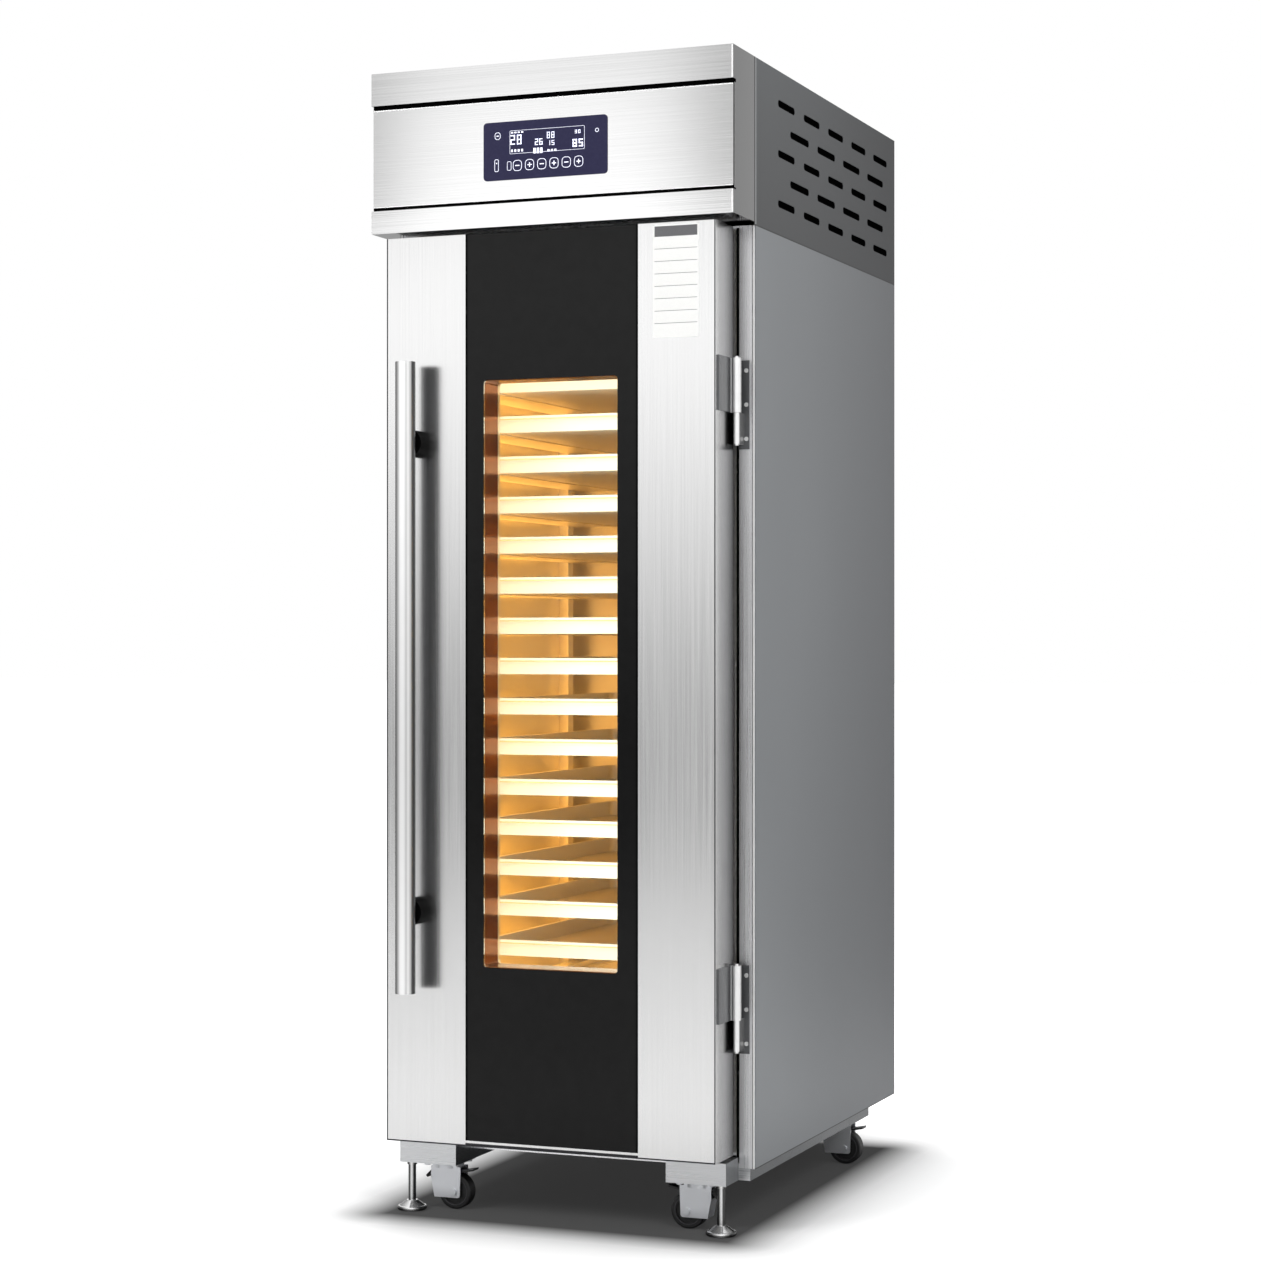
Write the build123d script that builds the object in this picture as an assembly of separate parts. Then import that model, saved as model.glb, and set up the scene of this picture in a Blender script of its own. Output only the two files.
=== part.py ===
"""Proofing cabinet: a glass-door retarder-prover with fifteen trays, on four braked casters."""
import os

from build123d import *

# Driving dimensions, in millimetres. Depths are measured back from the front frame's face.
WIDTH = 690.0
BODY_DEPTH = 862.0
CABINET_HEIGHT = 1647.6
HEADER_HEIGHT = 293.0
SHEET = 1.5
LINER = 1.2
SIDE_WALL = 60.0
FLOOR_WALL = 60.6
ROOF_WALL = 60.0
BACK_WALL = 60.0
RUNNING_FIT = 0.05
SEAT_GAP = 0.2

# Casters
WHEEL_RADIUS = 32.0
WHEEL_WIDTH = 24.0
WHEEL_EDGE = 3.0
WHEEL_RECESS_DEPTH = 3.0
WHEEL_RECESS_RADIUS = 22.0
WHEEL_HUB_RADIUS = 9.0
AXLE_RADIUS = 4.0
AXLE_HEAD_RADIUS = 6.0
AXLE_HEAD_HEIGHT = 4.0
CASTER_TRAIL = 18.0
CHEEK_THICKNESS = 3.0
CHEEK_GAP = 1.5
CHEEK_FOOT_DROP = 11.0
CHEEK_FOOT_TAIL = 12.0
CHEEK_CORNER = 5.0
CHEEK_LEAD = 27.0
CHEEK_TAIL = 32.0
WEB_TOP_DROP = 19.0
WEB_WHEEL_GAP = 3.5
WEB_THICKNESS = 3.0
PEDAL_GAP = 3.2
PEDAL_THICKNESS = 3.5
PEDAL_SIDE_GAP = 1.5
PEDAL_PIN_RADIUS = 2.5
PEDAL_BOSS_WALL = 1.9
PEDAL_PIVOT_LEAD = 15.0
PEDAL_TAIL = 55.0
PEDAL_TAIL_RISE = 3.8
PEDAL_NOSE = 40.0
PEDAL_NOSE_DROP = 13.0
CROWN_GAP = 3.3
CROWN_THICKNESS = 6.0
RACE_RADIUS = 24.0
RACE_HEIGHT = 4.8
KINGPIN_RADIUS = 6.0
KINGPIN_HEAD_RADIUS = 9.0
KINGPIN_HEAD_HEIGHT = 1.5
PLATE_SIZE = 74.0
PLATE_THICKNESS = 3.2
PLATE_BOLT_RADIUS = 6.0
PLATE_BOLT_HEIGHT = 4.0
PLATE_BOLT_INSET = 9.0
FRONT_CASTER_X = 244.0
REAR_CASTER_X = 286.0
FRONT_CASTER_Y = -8.0
REAR_CASTER_Y = 665.0

# Base rails and levelling feet
RAIL_HEIGHT = 21.2
RAIL_INNER_X = 202.0
RAIL_INSET = 10.0
RAIL_FRONT = 65.5
RAIL_BACK_INSET = 149.0
REAR_BOX_LENGTH = 136.0
REAR_BOX_SEAM = 2.0
NOSE_WIDTH = 111.3
RAIL_WALL = 2.5
RAIL_NOSE_HEIGHT = 39.8
FOOT_X = 298.0
FOOT_FRONT = 47.0
FOOT_RADIUS = 27.0
FOOT_EDGE = 8.0
FOOT_ROUND = 3.5
FOOT_DOME = 9.5
FOOT_NECK_RADIUS = 10.0
FOOT_ROD_RADIUS = 7.0
FOOT_ROD_REACH = 30.0
FOOT_NUT_RADIUS = 9.0
FOOT_NUT_HEIGHT = 6.0

# Door
DOOR_INSET = 25.0
DOOR_LIFT = 24.0
DOOR_TOP_GAP = 3.2
DOOR_THICKNESS = 88.5
GASKET_THICKNESS = 16.5
GASKET_WIDTH = 16.0
GASKET_INSET = 6.0
GASKET_GAP = 0.3
LEFT_PANEL_WIDTH = 155.8
RIGHT_PANEL_WIDTH = 143.3
GLASS_SEAL = 3.8
GLASS_THICKNESS = 5.0
GLASS_RECESS = 1.0
GLASS_FOOT = 9.6
WINDOW_MARGIN = 35.4
WINDOW_SILL = 319.1
WINDOW_HEIGHT = 1040.5
WINDOW_CORNER = 6.0
INNER_GLASS_THICKNESS = 4.0
INNER_GLASS_LAP = 8.0
INNER_GLASS_DEPTH = 60.0
HANDLE_INSET = 62.0
HANDLE_RADIUS = 18.0
HANDLE_WALL = 2.0
HANDLE_STANDOFF = 51.0
HANDLE_LENGTH = 1120.0
HANDLE_LIFT = 272.6
HANDLE_POST_RADIUS = 24.0
HANDLE_POST_INSET = 143.0
HANDLE_POST_LAP = 4.0

# Hinges
BARREL_RADIUS = 9.0
BARREL_HEIGHT = 95.0
BARREL_GROOVE = 0.6
BARREL_GROOVE_WIDTH = 1.6
HINGE_AXIS_FRONT = 30.0
HINGE_SIDE_GAP = 2.0
HINGE_PIN_RADIUS = 4.0
HINGE_TIP_RADIUS = 4.0
HINGE_TIP_HEIGHT = 3.0
HINGE_PIN_REACH = 80.0
KNUCKLE_RADIUS = 6.0
KNUCKLE_HEIGHT = 54.4
LEAF_THICKNESS = 3.0
LEAF_HEIGHT = 155.0
LEAF_OUTER = 14.0
LEAF_INNER = 5.0
LEAF_DROP = 62.0
DOOR_LEAF_REACH = 66.0
SCREW_RADIUS = 3.8
SCREW_HEIGHT = 1.8
SCREW_PITCH = 59.7
SCREW_OUT = 9.2
UPPER_HINGE_LIFT = 1294.6
LOWER_HINGE_LIFT = 238.6

# Header
HEADER_LIFT = 5.0
HEADER_REACH = 117.0
HEADER_SEAM = 7.5
HEADER_TOP_BAND = 58.0
HEADER_LOWER_BAND = 41.0
HEADER_GROOVE = 6.0
HEADER_LOWER_GROOVE = 3.0
HEADER_GROOVE_DEPTH = 14.0
HEADER_PANEL_RECESS = 8.0
DISPLAY_WIDTH = 237.0
DISPLAY_HEIGHT = 103.0
DISPLAY_THICKNESS = 1.2
DISPLAY_CORNER = 7.0
DISPLAY_X = -8.0
DISPLAY_LIFT = 82.7
CONTROLLER_WIDTH = 210.0
CONTROLLER_HEIGHT = 85.0
CONTROLLER_DEPTH = 25.0
SLOT_LENGTH = 94.0
SLOT_HEIGHT = 13.0
SLOT_ROWS = 5
SLOT_PITCH = 147.5
SLOT_FIRST_Y = 169.0
SLOT_BACK_ROOM = 40.0
SLOT_COLUMNS = 1 + int((BODY_DEPTH - SLOT_FIRST_Y - SLOT_LENGTH / 2 - SLOT_BACK_ROOM) // SLOT_PITCH)
SLOT_ROW_PITCH = 44.8
SLOT_LOWEST_ROW = 56.0
SHORT_ROW_SLOT = 108.0
SHORT_ROW_PITCH = 160.0
SHORT_ROW_FIRST_Y = 245.0
REAR_SLOT_COLUMNS = 4
SCREEN_THICKNESS = 2.0
SCREEN_MARGIN = 24.0

# Trays and racks
TRAY_COUNT = 15
TRAY_WIDTH = 400.0
TRAY_DEPTH = 600.0
TRAY_HEIGHT = 29.4
TRAY_WALL = 1.2
TRAY_RIM = 8.0
TRAY_RIM_HEIGHT = 4.0
TRAY_CORNER = 22.0
TRAY_PITCH = 73.7
TRAY_FRONT = 55.0
FIRST_LEVEL = 137.2
EMPTY_LEVELS_BELOW = 2
EMPTY_LEVELS_ABOVE = 1
RUNNER_SHEET = 1.5
RUNNER_LEDGE = 20.0
RUNNER_LIP = 10.0
RUNNER_SIDE_GAP = 1.5
RUNNER_GAP = 0.1
RUNNER_FRONT_SETBACK = 5.0
POST_DEPTH = 20.0
POST_WIDTH = 25.0
FRONT_POST_SETBACK = 35.0
REAR_POST_SETBACK = 545.0

# Air duct, refrigeration and lamp
DUCT_DEPTH = 130.0
DUCT_INLET_RADIUS = 98.0
DUCT_INLET_DROP = 130.0
DUCT_SLOT_COUNT = 9
DUCT_SLOT_WIDTH = 40.0
DUCT_SLOT_HEIGHT = 12.0
DUCT_SLOT_LIFT = 60.0
DUCT_SLOT_PITCH = 56.0
FAN_RADIUS = 88.0
FAN_HUB_RADIUS = 24.0
FAN_DEPTH = 26.0
FAN_BLADES = 5
FAN_BLADE_CHORD = 46.0
FAN_BLADE_THICKNESS = 2.0
FAN_BLADE_PITCH = 24.0
FAN_SHAFT_RADIUS = 4.0
FAN_SHAFT_REACH = 18.0
FAN_GAP = 8.0
MOTOR_RADIUS = 36.0
MOTOR_LENGTH = 52.0
COIL_WIDTH = 400.0
COIL_HEIGHT = 240.0
COIL_DEPTH = 84.0
COIL_DROP = 300.0
COIL_FIN_PITCH = 16.0
COIL_FIN_THICKNESS = 1.0
COIL_TUBE_RADIUS = 5.0
COIL_TUBE_ROWS = 4
DRIP_TRAY_HEIGHT = 22.0
DRIP_TRAY_GAP = 12.0
UNIT_BASE_WIDTH = 420.0
UNIT_BASE_DEPTH = 560.0
UNIT_BASE_THICKNESS = 3.0
UNIT_FRONT = 230.0
COMPRESSOR_RADIUS = 88.0
COMPRESSOR_HEIGHT = 190.0
COMPRESSOR_X = 60.0
COMPRESSOR_SETBACK = 390.0
CONDENSER_WIDTH = 320.0
CONDENSER_HEIGHT = 220.0
CONDENSER_DEPTH = 60.0
CONDENSER_SETBACK = 20.0
BRACKET_WIDTH = 60.0
LAMP_WIDTH = 420.0
LAMP_DEPTH = 34.0
LAMP_HEIGHT = 20.0
LAMP_SETBACK = 18.0
GLAND_RADIUS = 11.0
GLAND_LENGTH = 14.0
GLAND_BORE_RADIUS = 4.0
GLAND_X = -260.0
GLAND_LIFT = 40.0

# Heights and planes that follow from the sizes above
PEDAL_BOTTOM = 2 * WHEEL_RADIUS + PEDAL_GAP
PEDAL_TOP = PEDAL_BOTTOM + PEDAL_THICKNESS
CROWN_BOTTOM = PEDAL_TOP + CROWN_GAP
CROWN_TOP = CROWN_BOTTOM + CROWN_THICKNESS
RACE_BOTTOM = CROWN_TOP + SEAT_GAP
PLATE_BOTTOM = RACE_BOTTOM + RACE_HEIGHT
CASTER_HEIGHT = PLATE_BOTTOM + PLATE_THICKNESS
CABINET_BOTTOM = CASTER_HEIGHT + RAIL_HEIGHT
CABINET_TOP = CABINET_BOTTOM + CABINET_HEIGHT
HEADER_TOP = CABINET_TOP + HEADER_HEIGHT
HEADER_BOTTOM = CABINET_TOP + HEADER_LIFT
HALF = WIDTH / 2
INSIDE = HALF - SHEET
CHAMBER_HALF = HALF - SIDE_WALL
CHAMBER_FLOOR = CABINET_BOTTOM + FLOOR_WALL
CHAMBER_CEILING = CABINET_TOP - ROOF_WALL
CHAMBER_BACK = BODY_DEPTH - BACK_WALL
DUCT_FRONT = CHAMBER_BACK - DUCT_DEPTH
HINGE_X = HALF - DOOR_INSET
DOOR_LEFT = -HALF + DOOR_INSET
DOOR_RIGHT = HINGE_X - BARREL_RADIUS - HINGE_SIDE_GAP
DOOR_BOTTOM = CABINET_BOTTOM + DOOR_LIFT
DOOR_TOP = CABINET_TOP - DOOR_TOP_GAP
DOOR_BACK = -GASKET_THICKNESS
DOOR_FRONT = DOOR_BACK - DOOR_THICKNESS
HANDLE_X = DOOR_LEFT + HANDLE_INSET
HANDLE_Y = DOOR_FRONT - HANDLE_STANDOFF
HANDLE_BOTTOM = DOOR_BOTTOM + HANDLE_LIFT
GLASS_LEFT = DOOR_LEFT + LEFT_PANEL_WIDTH
REBATE_RIGHT = DOOR_RIGHT - RIGHT_PANEL_WIDTH
GLASS_RIGHT = REBATE_RIGHT - GLASS_SEAL
GLASS_BOTTOM = DOOR_BOTTOM + GLASS_FOOT
GLASS_FRONT = DOOR_FRONT + GLASS_RECESS
GLASS_BACK = GLASS_FRONT + GLASS_THICKNESS
WINDOW_LEFT = GLASS_LEFT + WINDOW_MARGIN
WINDOW_RIGHT = GLASS_RIGHT - WINDOW_MARGIN
WINDOW_BOTTOM = DOOR_BOTTOM + WINDOW_SILL
WINDOW_TOP = WINDOW_BOTTOM + WINDOW_HEIGHT
INNER_GLASS_FRONT = DOOR_FRONT + INNER_GLASS_DEPTH
TRAY_BACK = TRAY_FRONT + TRAY_DEPTH
LEVEL_COUNT = EMPTY_LEVELS_BELOW + TRAY_COUNT + EMPTY_LEVELS_ABOVE

# The part's origin is under the middle of its overall box, from the handle to the back
OVERALL_FRONT = HANDLE_Y - HANDLE_RADIUS
FRAME_Y = -(OVERALL_FRONT + BODY_DEPTH) / 2


def place(x, y, z):
    """A location whose y is measured back from the front frame's face."""
    return Pos(x, FRAME_Y + y, z)


def block(x0, x1, y0, y1, z0, z1):
    """A box between two corners."""
    middle = place((x0 + x1) / 2, (y0 + y1) / 2, (z0 + z1) / 2)
    return middle * Box(x1 - x0, y1 - y0, z1 - z0)


def upright(radius, x, y, z0, z1):
    """A cylinder standing between two heights."""
    return place(x, y, (z0 + z1) / 2) * Cylinder(radius, z1 - z0)


def fore_and_aft(radius, x, y0, y1, z):
    """A cylinder lying along the depth of the cabinet."""
    return place(x, (y0 + y1) / 2, z) * Rot(90, 0, 0) * Cylinder(radius, y1 - y0)


def rounded_opening(x0, x1, y0, y1, z0, z1, corner):
    """A block with its four fore-and-aft edges rounded."""
    outline = RectangleRounded(x1 - x0, z1 - z0, corner)
    middle = place((x0 + x1) / 2, (y0 + y1) / 2, (z0 + z1) / 2)
    return middle * Rot(90, 0, 0) * extrude(outline, (y1 - y0) / 2, both=True)


def save(name, *solids):
    """Write one node: a single solid, or a group of separate ones."""
    shape = solids[0] if len(solids) == 1 else Compound(children=list(solids))
    export_step(shape, f"parts/{name}.step")


# Cabinet body

def side_panel(side):
    """Outer side sheet, with a hem turned in behind the front frame."""
    x0, x1 = sorted((side * INSIDE, side * HALF))
    return block(x0, x1, 0, BODY_DEPTH, CABINET_BOTTOM, CABINET_TOP)


def rear_wrapper():
    """One folded sheet that makes the cabinet's bottom, back and roof."""
    outer = block(-INSIDE, INSIDE, SHEET, BODY_DEPTH, CABINET_BOTTOM, CABINET_TOP)
    inner = block(-INSIDE, INSIDE, SHEET, BODY_DEPTH - SHEET, CABINET_BOTTOM + SHEET, CABINET_TOP - SHEET)
    return outer - inner


def front_frame():
    """Flat stainless frame around the chamber's mouth, which the door gasket closes on."""
    sheet = block(-INSIDE, INSIDE, 0, SHEET, CABINET_BOTTOM, CABINET_TOP)
    return sheet - block(-CHAMBER_HALF, CHAMBER_HALF, 0, SHEET, CHAMBER_FLOOR, CHAMBER_CEILING)


def chamber(wall):
    """The chamber's inside, grown by a wall, and open at the front."""
    x = CHAMBER_HALF + wall
    return block(-x, x, SHEET, CHAMBER_BACK + wall, CHAMBER_FLOOR - wall, CHAMBER_CEILING + wall)


def liner_sheets():
    """The five sheets that are welded into the chamber's liner."""
    x = CHAMBER_HALF + LINER
    low, high = CHAMBER_FLOOR - LINER, CHAMBER_CEILING + LINER
    back = CHAMBER_BACK + LINER
    left = block(-x, -CHAMBER_HALF, SHEET, back, low, high)
    right = block(CHAMBER_HALF, x, SHEET, back, low, high)
    floor = block(-CHAMBER_HALF, CHAMBER_HALF, SHEET, back, low, CHAMBER_FLOOR)
    ceiling = block(-CHAMBER_HALF, CHAMBER_HALF, SHEET, back, CHAMBER_CEILING, high)
    rear = block(-CHAMBER_HALF, CHAMBER_HALF, CHAMBER_BACK, back, CHAMBER_FLOOR, CHAMBER_CEILING)
    return [left, right, floor, ceiling, rear]


def insulation():
    """Foam between the outer sheets and the liner."""
    outside = block(
        -INSIDE, INSIDE, SHEET, BODY_DEPTH - SHEET, CABINET_BOTTOM + SHEET, CABINET_TOP - SHEET
    )
    return outside - chamber(LINER)


def hollow_box(x0, x1, y0, y1, z0, z1):
    """A closed box of sheet, one rail wall thick."""
    wall = RAIL_WALL
    inside = block(x0 + wall, x1 - wall, y0 + wall, y1 - wall, z0 + wall, z1 - wall)
    return block(x0, x1, y0, y1, z0, z1) - inside


def base_rail(side):
    """Hollow sill under one side, with a taller nose in front of the frame for the levelling foot."""
    x0, x1 = RAIL_INNER_X, HALF - RAIL_INSET
    nose_x1 = RAIL_INNER_X + NOSE_WIDTH
    back = BODY_DEPTH - RAIL_BACK_INSET - REAR_BOX_LENGTH - REAR_BOX_SEAM
    nose_top = CASTER_HEIGHT + RAIL_NOSE_HEIGHT
    rail = hollow_box(x0, x1, 0, back, CASTER_HEIGHT, CABINET_BOTTOM)
    rail += hollow_box(x0, nose_x1, -RAIL_FRONT, 0, CASTER_HEIGHT, nose_top)
    hole = FOOT_ROD_RADIUS + RUNNING_FIT
    rail -= upright(hole, FOOT_X, -FOOT_FRONT, CASTER_HEIGHT, CASTER_HEIGHT + RAIL_WALL)
    return rail if side > 0 else mirror(rail, about=Plane.YZ)


def rear_box(side):
    """Closed box behind each sill, which takes the rear caster's plate."""
    back = BODY_DEPTH - RAIL_BACK_INSET
    x0, x1 = RAIL_INNER_X, HALF - RAIL_INSET
    box = hollow_box(x0, x1, back - REAR_BOX_LENGTH, back, CASTER_HEIGHT, CABINET_BOTTOM)
    return box if side > 0 else mirror(box, about=Plane.YZ)


def levelling_foot(side):
    """Domed foot on a threaded rod, with its lock nut just under the rail."""
    x, y = side * FOOT_X, -FOOT_FRONT
    dome_top = FOOT_EDGE + FOOT_DOME
    disc = fillet(Cylinder(FOOT_RADIUS, FOOT_EDGE).edges(), FOOT_ROUND)
    foot = place(x, y, FOOT_EDGE / 2) * disc
    shoulder = FOOT_RADIUS - FOOT_ROUND
    foot += place(x, y, FOOT_EDGE + FOOT_DOME / 2) * Cone(shoulder, FOOT_NECK_RADIUS, FOOT_DOME)
    foot += upright(FOOT_ROD_RADIUS, x, y, dome_top, CASTER_HEIGHT + FOOT_ROD_REACH)
    nut_top = CASTER_HEIGHT - SEAT_GAP
    foot += upright(FOOT_NUT_RADIUS, x, y, nut_top - FOOT_NUT_HEIGHT, nut_top)
    return foot


# Casters, drawn about their swivel axis with the wheel trailing towards +X

def across(radius, x, z, y0, y1):
    """A cylinder along Y in a caster's own place."""
    return Pos(x, (y0 + y1) / 2, z) * Rot(90, 0, 0) * Cylinder(radius, y1 - y0)


def side_profile(points, width):
    """A plate whose outline stands in the X-Z plane, centred on Y."""
    outline = make_face(Polyline([(x, 0, z) for x, z in points], close=True))
    return extrude(outline, width / 2, both=True)


def caster_plate():
    """Top plate with its race, kingpin and four bolt heads."""
    half = PLATE_SIZE / 2
    bolt = half - PLATE_BOLT_INSET
    plate = Pos(0, 0, PLATE_BOTTOM + PLATE_THICKNESS / 2) * Box(PLATE_SIZE, PLATE_SIZE, PLATE_THICKNESS)
    plate += Pos(0, 0, RACE_BOTTOM + RACE_HEIGHT / 2) * Cylinder(RACE_RADIUS, RACE_HEIGHT)
    head_top = CROWN_BOTTOM - SEAT_GAP
    pin_height = RACE_BOTTOM - head_top
    plate += Pos(0, 0, head_top + pin_height / 2) * Cylinder(KINGPIN_RADIUS, pin_height)
    head_middle = head_top - KINGPIN_HEAD_HEIGHT / 2
    plate += Pos(0, 0, head_middle) * Cylinder(KINGPIN_HEAD_RADIUS, KINGPIN_HEAD_HEIGHT)
    for x in (-bolt, bolt):
        for y in (-bolt, bolt):
            low = PLATE_BOTTOM - PLATE_BOLT_HEIGHT / 2
            plate += Pos(x, y, low) * Cylinder(PLATE_BOLT_RADIUS, PLATE_BOLT_HEIGHT)
    return plate


def caster_fork():
    """Crown, two cheeks and the slanted web ahead of the wheel, with the brake pedal's pin across them."""
    inner = WHEEL_WIDTH / 2 + CHEEK_GAP
    outer = inner + CHEEK_THICKNESS
    rim = CROWN_BOTTOM + CROWN_THICKNESS / 2
    foot_z = WHEEL_RADIUS - CHEEK_FOOT_DROP
    web_top = CROWN_BOTTOM - WEB_TOP_DROP
    web_foot = CASTER_TRAIL - WHEEL_RADIUS - WEB_WHEEL_GAP
    fork = Pos(0, 0, rim) * Box(2 * RACE_RADIUS, 2 * outer, CROWN_THICKNESS)
    fork += Pos(0, 0, rim) * Cylinder(RACE_RADIUS, CROWN_THICKNESS)
    cheek = [
        (-CHEEK_LEAD, rim),
        (CHEEK_TAIL, rim),
        (CASTER_TRAIL + CHEEK_FOOT_TAIL, foot_z),
        (web_foot, foot_z),
        (-CHEEK_LEAD, web_top),
    ]
    for side in (-1, 1):
        middle = side * (inner + outer) / 2
        plate = side_profile(cheek, CHEEK_THICKNESS)
        corner = plate.edges().filter_by(Axis.Y).group_by(Axis.Z)[0].sort_by(Axis.X)[-1]
        fork += Pos(0, middle, 0) * fillet(corner, CHEEK_CORNER)
    web = [
        (-CHEEK_LEAD, web_top),
        (WEB_THICKNESS - CHEEK_LEAD, web_top),
        (web_foot, foot_z),
        (web_foot - WEB_THICKNESS, foot_z),
    ]
    fork += side_profile(web, 2 * outer)
    pin_z = CROWN_BOTTOM - SEAT_GAP - PEDAL_PIN_RADIUS - PEDAL_BOSS_WALL
    fork += across(PEDAL_PIN_RADIUS, -PEDAL_PIVOT_LEAD, pin_z, -outer, outer)
    fork -= across(AXLE_RADIUS, CASTER_TRAIL, WHEEL_RADIUS, -outer, outer)
    return fork - Pos(0, 0, rim) * Cylinder(KINGPIN_RADIUS + RUNNING_FIT, CROWN_THICKNESS)


def caster_axle():
    """Axle bolt through the cheeks, with its head and nut outside them."""
    outer = WHEEL_WIDTH / 2 + CHEEK_GAP + CHEEK_THICKNESS
    tip = outer + AXLE_HEAD_HEIGHT
    axle = across(AXLE_RADIUS, CASTER_TRAIL, WHEEL_RADIUS, -tip, tip)
    axle += across(AXLE_HEAD_RADIUS, CASTER_TRAIL, WHEEL_RADIUS, -tip, -outer)
    return axle + across(AXLE_HEAD_RADIUS, CASTER_TRAIL, WHEEL_RADIUS, outer, tip)


def caster_wheel():
    """Wheel with softened tread edges, a dished face on each side and a bored hub."""
    half = WHEEL_WIDTH / 2
    wheel = fillet(Cylinder(WHEEL_RADIUS, WHEEL_WIDTH).edges(), WHEEL_EDGE)
    for side in (-1, 1):
        dish = Cylinder(WHEEL_RECESS_RADIUS, WHEEL_RECESS_DEPTH)
        dish -= Cylinder(WHEEL_HUB_RADIUS, WHEEL_RECESS_DEPTH)
        wheel -= Pos(0, 0, side * (half - WHEEL_RECESS_DEPTH / 2)) * dish
    wheel -= Cylinder(AXLE_RADIUS + RUNNING_FIT, WHEEL_WIDTH)
    return Pos(CASTER_TRAIL, 0, WHEEL_RADIUS) * Rot(90, 0, 0) * wheel


def brake_pedal():
    """Rocker pedal that reaches over the wheel, with a short nose on the leading side."""
    width = WHEEL_WIDTH + 2 * (CHEEK_GAP - PEDAL_SIDE_GAP)
    bend = CHEEK_TAIL + PEDAL_THICKNESS
    profile = [
        (-CHEEK_LEAD, PEDAL_BOTTOM),
        (bend, PEDAL_BOTTOM),
        (PEDAL_TAIL, PEDAL_BOTTOM + PEDAL_TAIL_RISE),
        (PEDAL_TAIL, PEDAL_TOP + PEDAL_TAIL_RISE),
        (bend, PEDAL_TOP),
        (-CHEEK_LEAD, PEDAL_TOP),
        (-PEDAL_NOSE, PEDAL_TOP - PEDAL_NOSE_DROP),
        (-PEDAL_NOSE + PEDAL_THICKNESS, PEDAL_BOTTOM - PEDAL_NOSE_DROP),
    ]
    boss = PEDAL_PIN_RADIUS + PEDAL_BOSS_WALL
    pin_z = CROWN_BOTTOM - SEAT_GAP - boss
    pedal = side_profile(profile, width)
    pedal += across(boss, -PEDAL_PIVOT_LEAD, pin_z, -width / 2, width / 2)
    bore = PEDAL_PIN_RADIUS + RUNNING_FIT
    return pedal - across(bore, -PEDAL_PIVOT_LEAD, pin_z, -width / 2, width / 2)


# Door

def door_skin():
    """Folded outer case of the door, with a rebate for the glass and its opening."""
    skin = block(DOOR_LEFT, DOOR_RIGHT, DOOR_FRONT, DOOR_BACK, DOOR_BOTTOM, DOOR_TOP)
    skin -= block(
        DOOR_LEFT + LINER, DOOR_RIGHT - LINER, DOOR_FRONT + LINER, DOOR_BACK,
        DOOR_BOTTOM + LINER, DOOR_TOP - LINER,
    )
    skin += block(
        GLASS_LEFT - LINER, REBATE_RIGHT + LINER, DOOR_FRONT, GLASS_BACK + LINER,
        DOOR_BOTTOM, DOOR_TOP,
    )
    skin -= block(GLASS_LEFT, REBATE_RIGHT, DOOR_FRONT, GLASS_BACK, GLASS_BOTTOM, DOOR_TOP)
    return skin - window(GLASS_BACK, GLASS_BACK + LINER, LINER)


def window(y0, y1, margin):
    """The window's clear opening between two depths, grown by a margin."""
    return rounded_opening(
        WINDOW_LEFT - margin, WINDOW_RIGHT + margin, y0, y1,
        WINDOW_BOTTOM - margin, WINDOW_TOP + margin, WINDOW_CORNER + margin,
    )


def window_steps(margin):
    """The stepped space through the door: the window in front and the inner pane's seat behind."""
    front = window(GLASS_BACK, INNER_GLASS_FRONT, margin)
    return front + window(INNER_GLASS_FRONT - margin, DOOR_BACK, INNER_GLASS_LAP + margin)


def door_liner():
    """Inner sheet of the door, drawn forward round the window as a reveal."""
    sheet = block(
        DOOR_LEFT + LINER, DOOR_RIGHT - LINER, DOOR_BACK - LINER, DOOR_BACK,
        DOOR_BOTTOM + LINER, DOOR_TOP - LINER,
    )
    return sheet + window_steps(LINER) - window_steps(0)


def door_foam():
    """Foam core that fills the case behind the glass and both front panels."""
    core = block(
        DOOR_LEFT + LINER, DOOR_RIGHT - LINER, GLASS_BACK + LINER, DOOR_BACK - LINER,
        DOOR_BOTTOM + LINER, DOOR_TOP - LINER,
    )
    front = DOOR_FRONT + LINER
    low, high = DOOR_BOTTOM + LINER, DOOR_TOP - LINER
    core += block(DOOR_LEFT + LINER, GLASS_LEFT - LINER, front, GLASS_BACK + LINER, low, high)
    core += block(REBATE_RIGHT + LINER, DOOR_RIGHT - LINER, front, GLASS_BACK + LINER, low, high)
    return core - window_steps(LINER)


def door_gasket():
    """Four bellows bars on the door's back, which meet the frame all round the mouth."""
    x0, x1 = DOOR_LEFT + GASKET_INSET, DOOR_RIGHT - GASKET_INSET
    z0, z1 = DOOR_BOTTOM + GASKET_INSET, DOOR_TOP - GASKET_INSET
    back, w = -GASKET_GAP, GASKET_WIDTH
    left = block(x0, x0 + w, DOOR_BACK, back, z0, z1)
    right = block(x1 - w, x1, DOOR_BACK, back, z0, z1)
    bottom = block(x0 + w, x1 - w, DOOR_BACK, back, z0, z0 + w)
    top = block(x0 + w, x1 - w, DOOR_BACK, back, z1 - w, z1)
    return [left, right, bottom, top]


def inner_glass():
    """Inner pane, seated in the step of the reveal."""
    lap = INNER_GLASS_LAP
    return rounded_opening(
        WINDOW_LEFT - lap, WINDOW_RIGHT + lap, INNER_GLASS_FRONT, INNER_GLASS_FRONT + INNER_GLASS_THICKNESS,
        WINDOW_BOTTOM - lap, WINDOW_TOP + lap, WINDOW_CORNER + lap,
    )


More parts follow.
